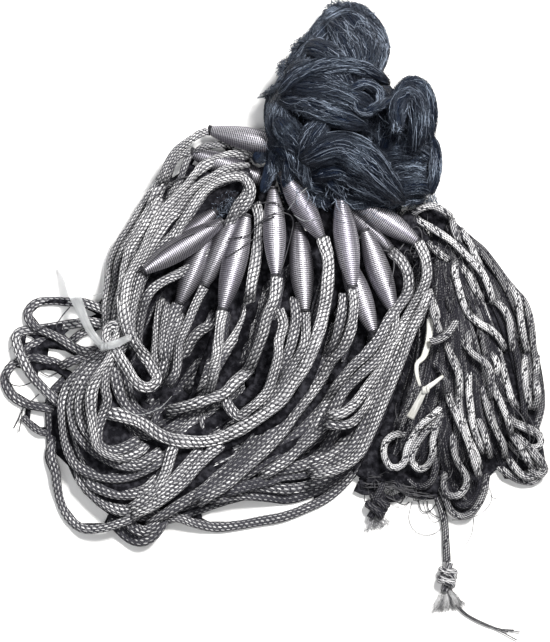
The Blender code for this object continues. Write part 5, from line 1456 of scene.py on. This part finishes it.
# ties
plastic = {}
for name in STRIPS:
    pile = Pile(name + "_look", film_look if name == "tie_left" else plastic_look, "tie_plastic")
    for half, thin, places in (STRIPS[name], TIE_ENDS[name]):
        path = route3(places, 1.5)
        s = np.linspace(0, 1, len(path))
        swell = np.interp(s, TIE_SWELL[name][len(places) < 6][0], TIE_SWELL[name][len(places) < 6][1])
        pile.tube(path, half * swell * MM, thin * MM, sides=10, box=0.6, seed=float(rng.random()), u=np.linspace(0, path_length(path) / 0.006, len(path)))
    knot_at = STRIPS[name][2][-1] if name == "tie_left" else TIE_ENDS[name][2][2]
    middle = np.array([*metres([knot_at[:2]])[0], knot_at[2] * MM])
    overhand(pile, middle, (1.0, 0.3), (0.0034, 0.0030, 0.0028), 0.0012, rng)
    pile.build(replaces=(name,))

# knots, tufts and loose lead line
tail = loose["lead_line_tail"]
cut = loose["lead_line_cut_end"]
tail_pile = Pile("lead_tail", lead_line, "lead_line_braid")
slim = 0.0028 * (1 + 0.05 * np.sin(np.linspace(0, 9, len(tail))))
tail_pile.tube(tail, slim, slim * 0.96, sides=12, seed=0.31, cover_and_shade=0.38, u=np.linspace(0, path_length(tail) / 0.002, len(tail)))
tail_piece = tail_pile.build(replaces=("lead_line_tail",))
cut_pile = Pile("lead_cut_end", lead_line, "lead_line_braid")
cut_pile.tube(cut, 0.0029, 0.0029, sides=12, seed=0.62, u=np.linspace(0, path_length(cut) / 0.002, len(cut)))
cut_piece = cut_pile.build(replaces=("lead_line_cut_end",))
for name, (x, y, z, long_, wide, high, turn) in KNOTS.items():
    pile = Pile(name + "_look", lead_line, "lead_line_braid")
    t = math.radians(turn)
    overhand(pile, [*metres([(x, y)])[0], z * MM], (math.cos(t), math.sin(t)), (long_ * MM, wide * MM, high * MM), 0.0027, rng, cover_and_shade=0.65 if name == "tail_knot" else 0.12, turns=3.4, through=0.0027)
    pile.build(replaces=(name,))
for name, (root, tip, wr, wt, high) in TUFTS.items():
    pile = Pile(name + "_look", pale_fibre if name == "tail_tuft" else dull_fibre, "lead_line_braid")
    tuft(pile, root, tip, wr, wt, high, 380 if name == "tail_tuft" else 70, rng, curl=2.2 if name == "tail_tuft" else 5.0)
    pile.build(replaces=(name,))

# threads
black = Pile("twine_loops", black_twine, None)
for places in (
    [(228, 239), (249, 235), (256, 226), (275, 216)],
    [(228, 218), (244, 207), (256, 204), (267, 202)],
    [(255, 227), (270, 215), (285, 213), (293, 220), (290, 240), (282, 268), (278, 275)],
    [(262, 203), (276, 203), (285, 210)],
    [(206, 226), (222, 222), (238, 212), (252, 208)],
    [(225, 258), (238, 250), (252, 240), (262, 236)],
    [(142, 270), (160, 252), (178, 240), (196, 232)],
    [(147, 205), (160, 192), (176, 180), (190, 176)],
    [(374, 226), (386, 240), (394, 262), (391, 284)],
    [(404, 244), (396, 252), (382, 250)],
    [(70, 307), (63, 315), (57, 324), (56, 329)],
    [(48, 324), (40, 329), (31, 332)],
    [(5, 372), (10, 383), (18, 386), (25, 385), (32, 382)],
    [(41, 372), (49, 376), (57, 373)],
    [(23, 408), (19, 418), (14, 428)],
    [(23, 408), (21, 421), (19, 432)],
    [(23, 408), (31, 401), (39, 394)],
    [(514, 407), (524, 420), (530, 440), (522, 450), (512, 450)],
    [(381, 490), (387, 497), (394, 500), (404, 505), (409, 502)],
    [(392, 492), (394, 499), (400, 503), (404, 498)],
    [(418, 500), (422, 511), (429.5, 511), (436, 504)],
    [(427, 501), (429.5, 511), (440, 518), (444, 514)],
    [(456, 603), (466, 613), (478, 620.5), (497, 628), (520, 632)],
    [(454, 603), (465, 613), (477, 621.5), (496, 629), (517, 640)],
    [(457, 605), (468, 615), (480, 621.5), (498, 628.5), (514, 630)],
    [(455, 604), (464, 612), (477, 619.5), (494, 627), (508, 632)],
    [(453, 602), (463, 613), (476, 621), (490, 627)],
):
    thread(black, places, 0.46, rng=rng, over=1.4)
for places in (
    [(412, 502), (409, 518), (414, 530), (425, 535), (437, 532), (446, 522)],
    [(423, 502), (427, 513), (434, 522), (443, 518)],
    [(452, 520), (467, 519), (483, 512), (492, 499), (489, 487)],
    [(474, 518), (472, 533), (466, 545)],
    [(495, 484), (499, 493), (495, 499), (487, 493)],
    [(500, 396), (512, 402), (524, 411), (533, 424), (534, 440), (526, 450)],
    [(508, 300), (520, 308), (530, 322), (536, 338)],
    [(428, 260), (440, 268), (456, 264), (470, 272)],
    [(458, 300), (470, 296), (484, 304), (496, 300)],
    [(470, 350), (482, 344), (496, 352), (508, 348)],
    [(446, 412), (458, 404), (470, 412), (484, 408)],
):
    thread(black, places, 0.24, rng=rng, over=0.8)
# the skirt's dark netting, drawn together into flat folds; the last four folds lie in the gaps between the floats and
# are dark netting and painted shade in those gaps
skirt = Pile("netting_skirt", core_look, None)
for half, thick, places in (
    (3.9, 2.6, ((356, 486, 2.8), (366, 490, 3.0), (378, 485, 3.4))),
    (4.6, 3.0, ((360, 484, 3.2), (374, 482, 4), (390, 481, 4.2), (404, 487, 4.4), (418, 493, 4.4), (438, 493, 4.4))),
    (6.4, 4.0, ((366, 476, 4.4), (386, 473, 5.5), (406, 476, 6), (428, 484, 6), (442, 484, 6))),
    (5.6, 4.0, ((372, 465, 5), (388, 461, 6), (406, 466, 6.5), (424, 474, 6.5))),
    (5.2, 4.0, ((390, 428, 7), (380, 446, 6), (369, 464, 5.0), (362, 478, 4.2))),
    (4.6, 4.0, ((402, 392, 10), (394, 412, 9), (384, 436, 7.5))),
    (4.6, 3.2, ((404, 364, 8), (394, 391, 7), (384, 417, 6), (374, 441, 5), (366, 461, 4.4))),
    (4.4, 4.0, ((427, 296, 12), (420, 320, 12), (412, 350, 11), (402, 392, 10))),
    (5.0, 4.0, ((404, 214, 10), (414, 226, 11), (424, 240, 12), (428, 262, 12), (427, 296, 12))),
    (5.2, 4.0, ((258, 168, 6), (263, 184, 6), (266, 204, 6))),
    (5.2, 4.0, ((283, 206, 8), (292, 220, 8), (296, 236, 8))),
    (5.0, 4.0, ((322, 206, 8), (326, 222, 8), (327, 238, 8))),
    (5.6, 4.0, ((352, 206, 7), (374, 222, 7), (396, 238, 8), (410, 250, 8))),
):
    path = route3(places, 2.0)
    skirt.tube(path, half * MM, thick * MM, sides=12, box=0.4, seed=float(rng.random()))
skirt.build()
for k in range(70):
    x, y = rng.uniform(358, 400), rng.uniform(470, 492)
    run = rng.uniform(18, 40)
    bend_ = rng.normal(0, 2.5)
    p = np.array([[x + run * t_, y + bend_ * math.sin(t_ * 3.1) + 7.0 * t_ * (x > 380), rng.uniform(6.5, 9.5)] for t_ in (0, 0.25, 0.5, 0.75, 1.0)])
    p[:, 1] = np.minimum(p[:, 1], np.interp(p[:, 0], (356, 378, 399, 409, 440), (489, 487, 489, 499, 500)))
    p[:, 0] = np.minimum(p[:, 0], 442)
    thread(black, p, rng.uniform(0.3, 0.5), rng=rng, pitch=2.4)
for x0, y0, x1, y1, count, low_, high_ in (
    (366, 474, 436, 498, 60, 1.0, 9.0),
    (402, 214, 432, 300, 60, 6.0, 22.0),
    (404, 300, 432, 470, 90, 4.0, 20.0),
    (350, 206, 420, 224, 30, 6.0, 18.0),
):
    for k in range(count):
        x, y = rng.uniform(x0, x1), rng.uniform(y0, y1)
        turn = rng.uniform(0, 2 * math.pi)
        size = rng.uniform(5, 13)
        a_ = np.linspace(0, rng.uniform(1.5, 4.5), 7) + turn
        p = np.column_stack([x + np.cos(a_) * size * 0.6, y + np.sin(a_) * size, np.clip(rng.uniform(low_, high_) + np.cumsum(rng.normal(0, 0.8, 7)), 0.6, high_)])
        p[:, 0] = np.clip(p[:, 0], x0 - 3, x1 + 3)
        p[:, 1] = np.clip(p[:, 1], y0 - 3, y1 + 3)
        thread(black, p, rng.uniform(0.26, 0.42), rng=rng, pitch=2.4)
# the twine that lashes the mesh to the lead line
for k in range(90):
    hx, hy, fx, fy = LEAD_LOOPS[k % len(LEAD_LOOPS)][:4]
    t = rng.uniform(0.08, 0.9)
    x, y = hx + (fx - hx) * t + rng.normal(0, 8), hy + (fy - hy) * t + rng.normal(0, 6)
    turn = rng.uniform(0, 2 * math.pi)
    size = rng.uniform(5, 16)
    a_ = np.linspace(0, rng.uniform(0.8, 2.6), 6) + turn
    p = np.column_stack([x + np.cos(a_) * size * 0.5 - np.cos(turn) * size * 0.5, y + np.sin(a_) * size - np.sin(turn) * size])
    if BED.at(metres(p)).min() > 4:
        thread(black, p, rng.uniform(0.24, 0.36), rng=rng)
black.build()
knot_pile.build()
clear = Pile("filament_loops", clear_thread, "monofilament")
for places in (
    [(157, 181), (141, 194), (129, 210), (118, 231), (109, 250), (104, 266), (103, 283), (102, 292)],
    [(82, 298), (92, 296), (103, 293)],
    [(11, 347), (5, 357), (4, 367)],
    [(309, 186), (299, 195), (288, 210)],
    [(294, 215), (305, 221), (319, 218)],
    [(123, 407), (133, 414), (145, 414), (161, 407), (172, 396)],
):
    thread(clear, places, 0.2, rng=rng)
clear.build()

# ------------------------------------------------------------------ cords and close
tuple(float(v) for v in tail[0])
path_length(tail)
[tuple(float(v) for v in p) for p in seen(tail)]
bight_path = seen(strands["bight"])
tuple(float(v) for v in bight_path[0])
path_length(bight_path)
[tuple(float(v) for v in p) for p in bight_path]
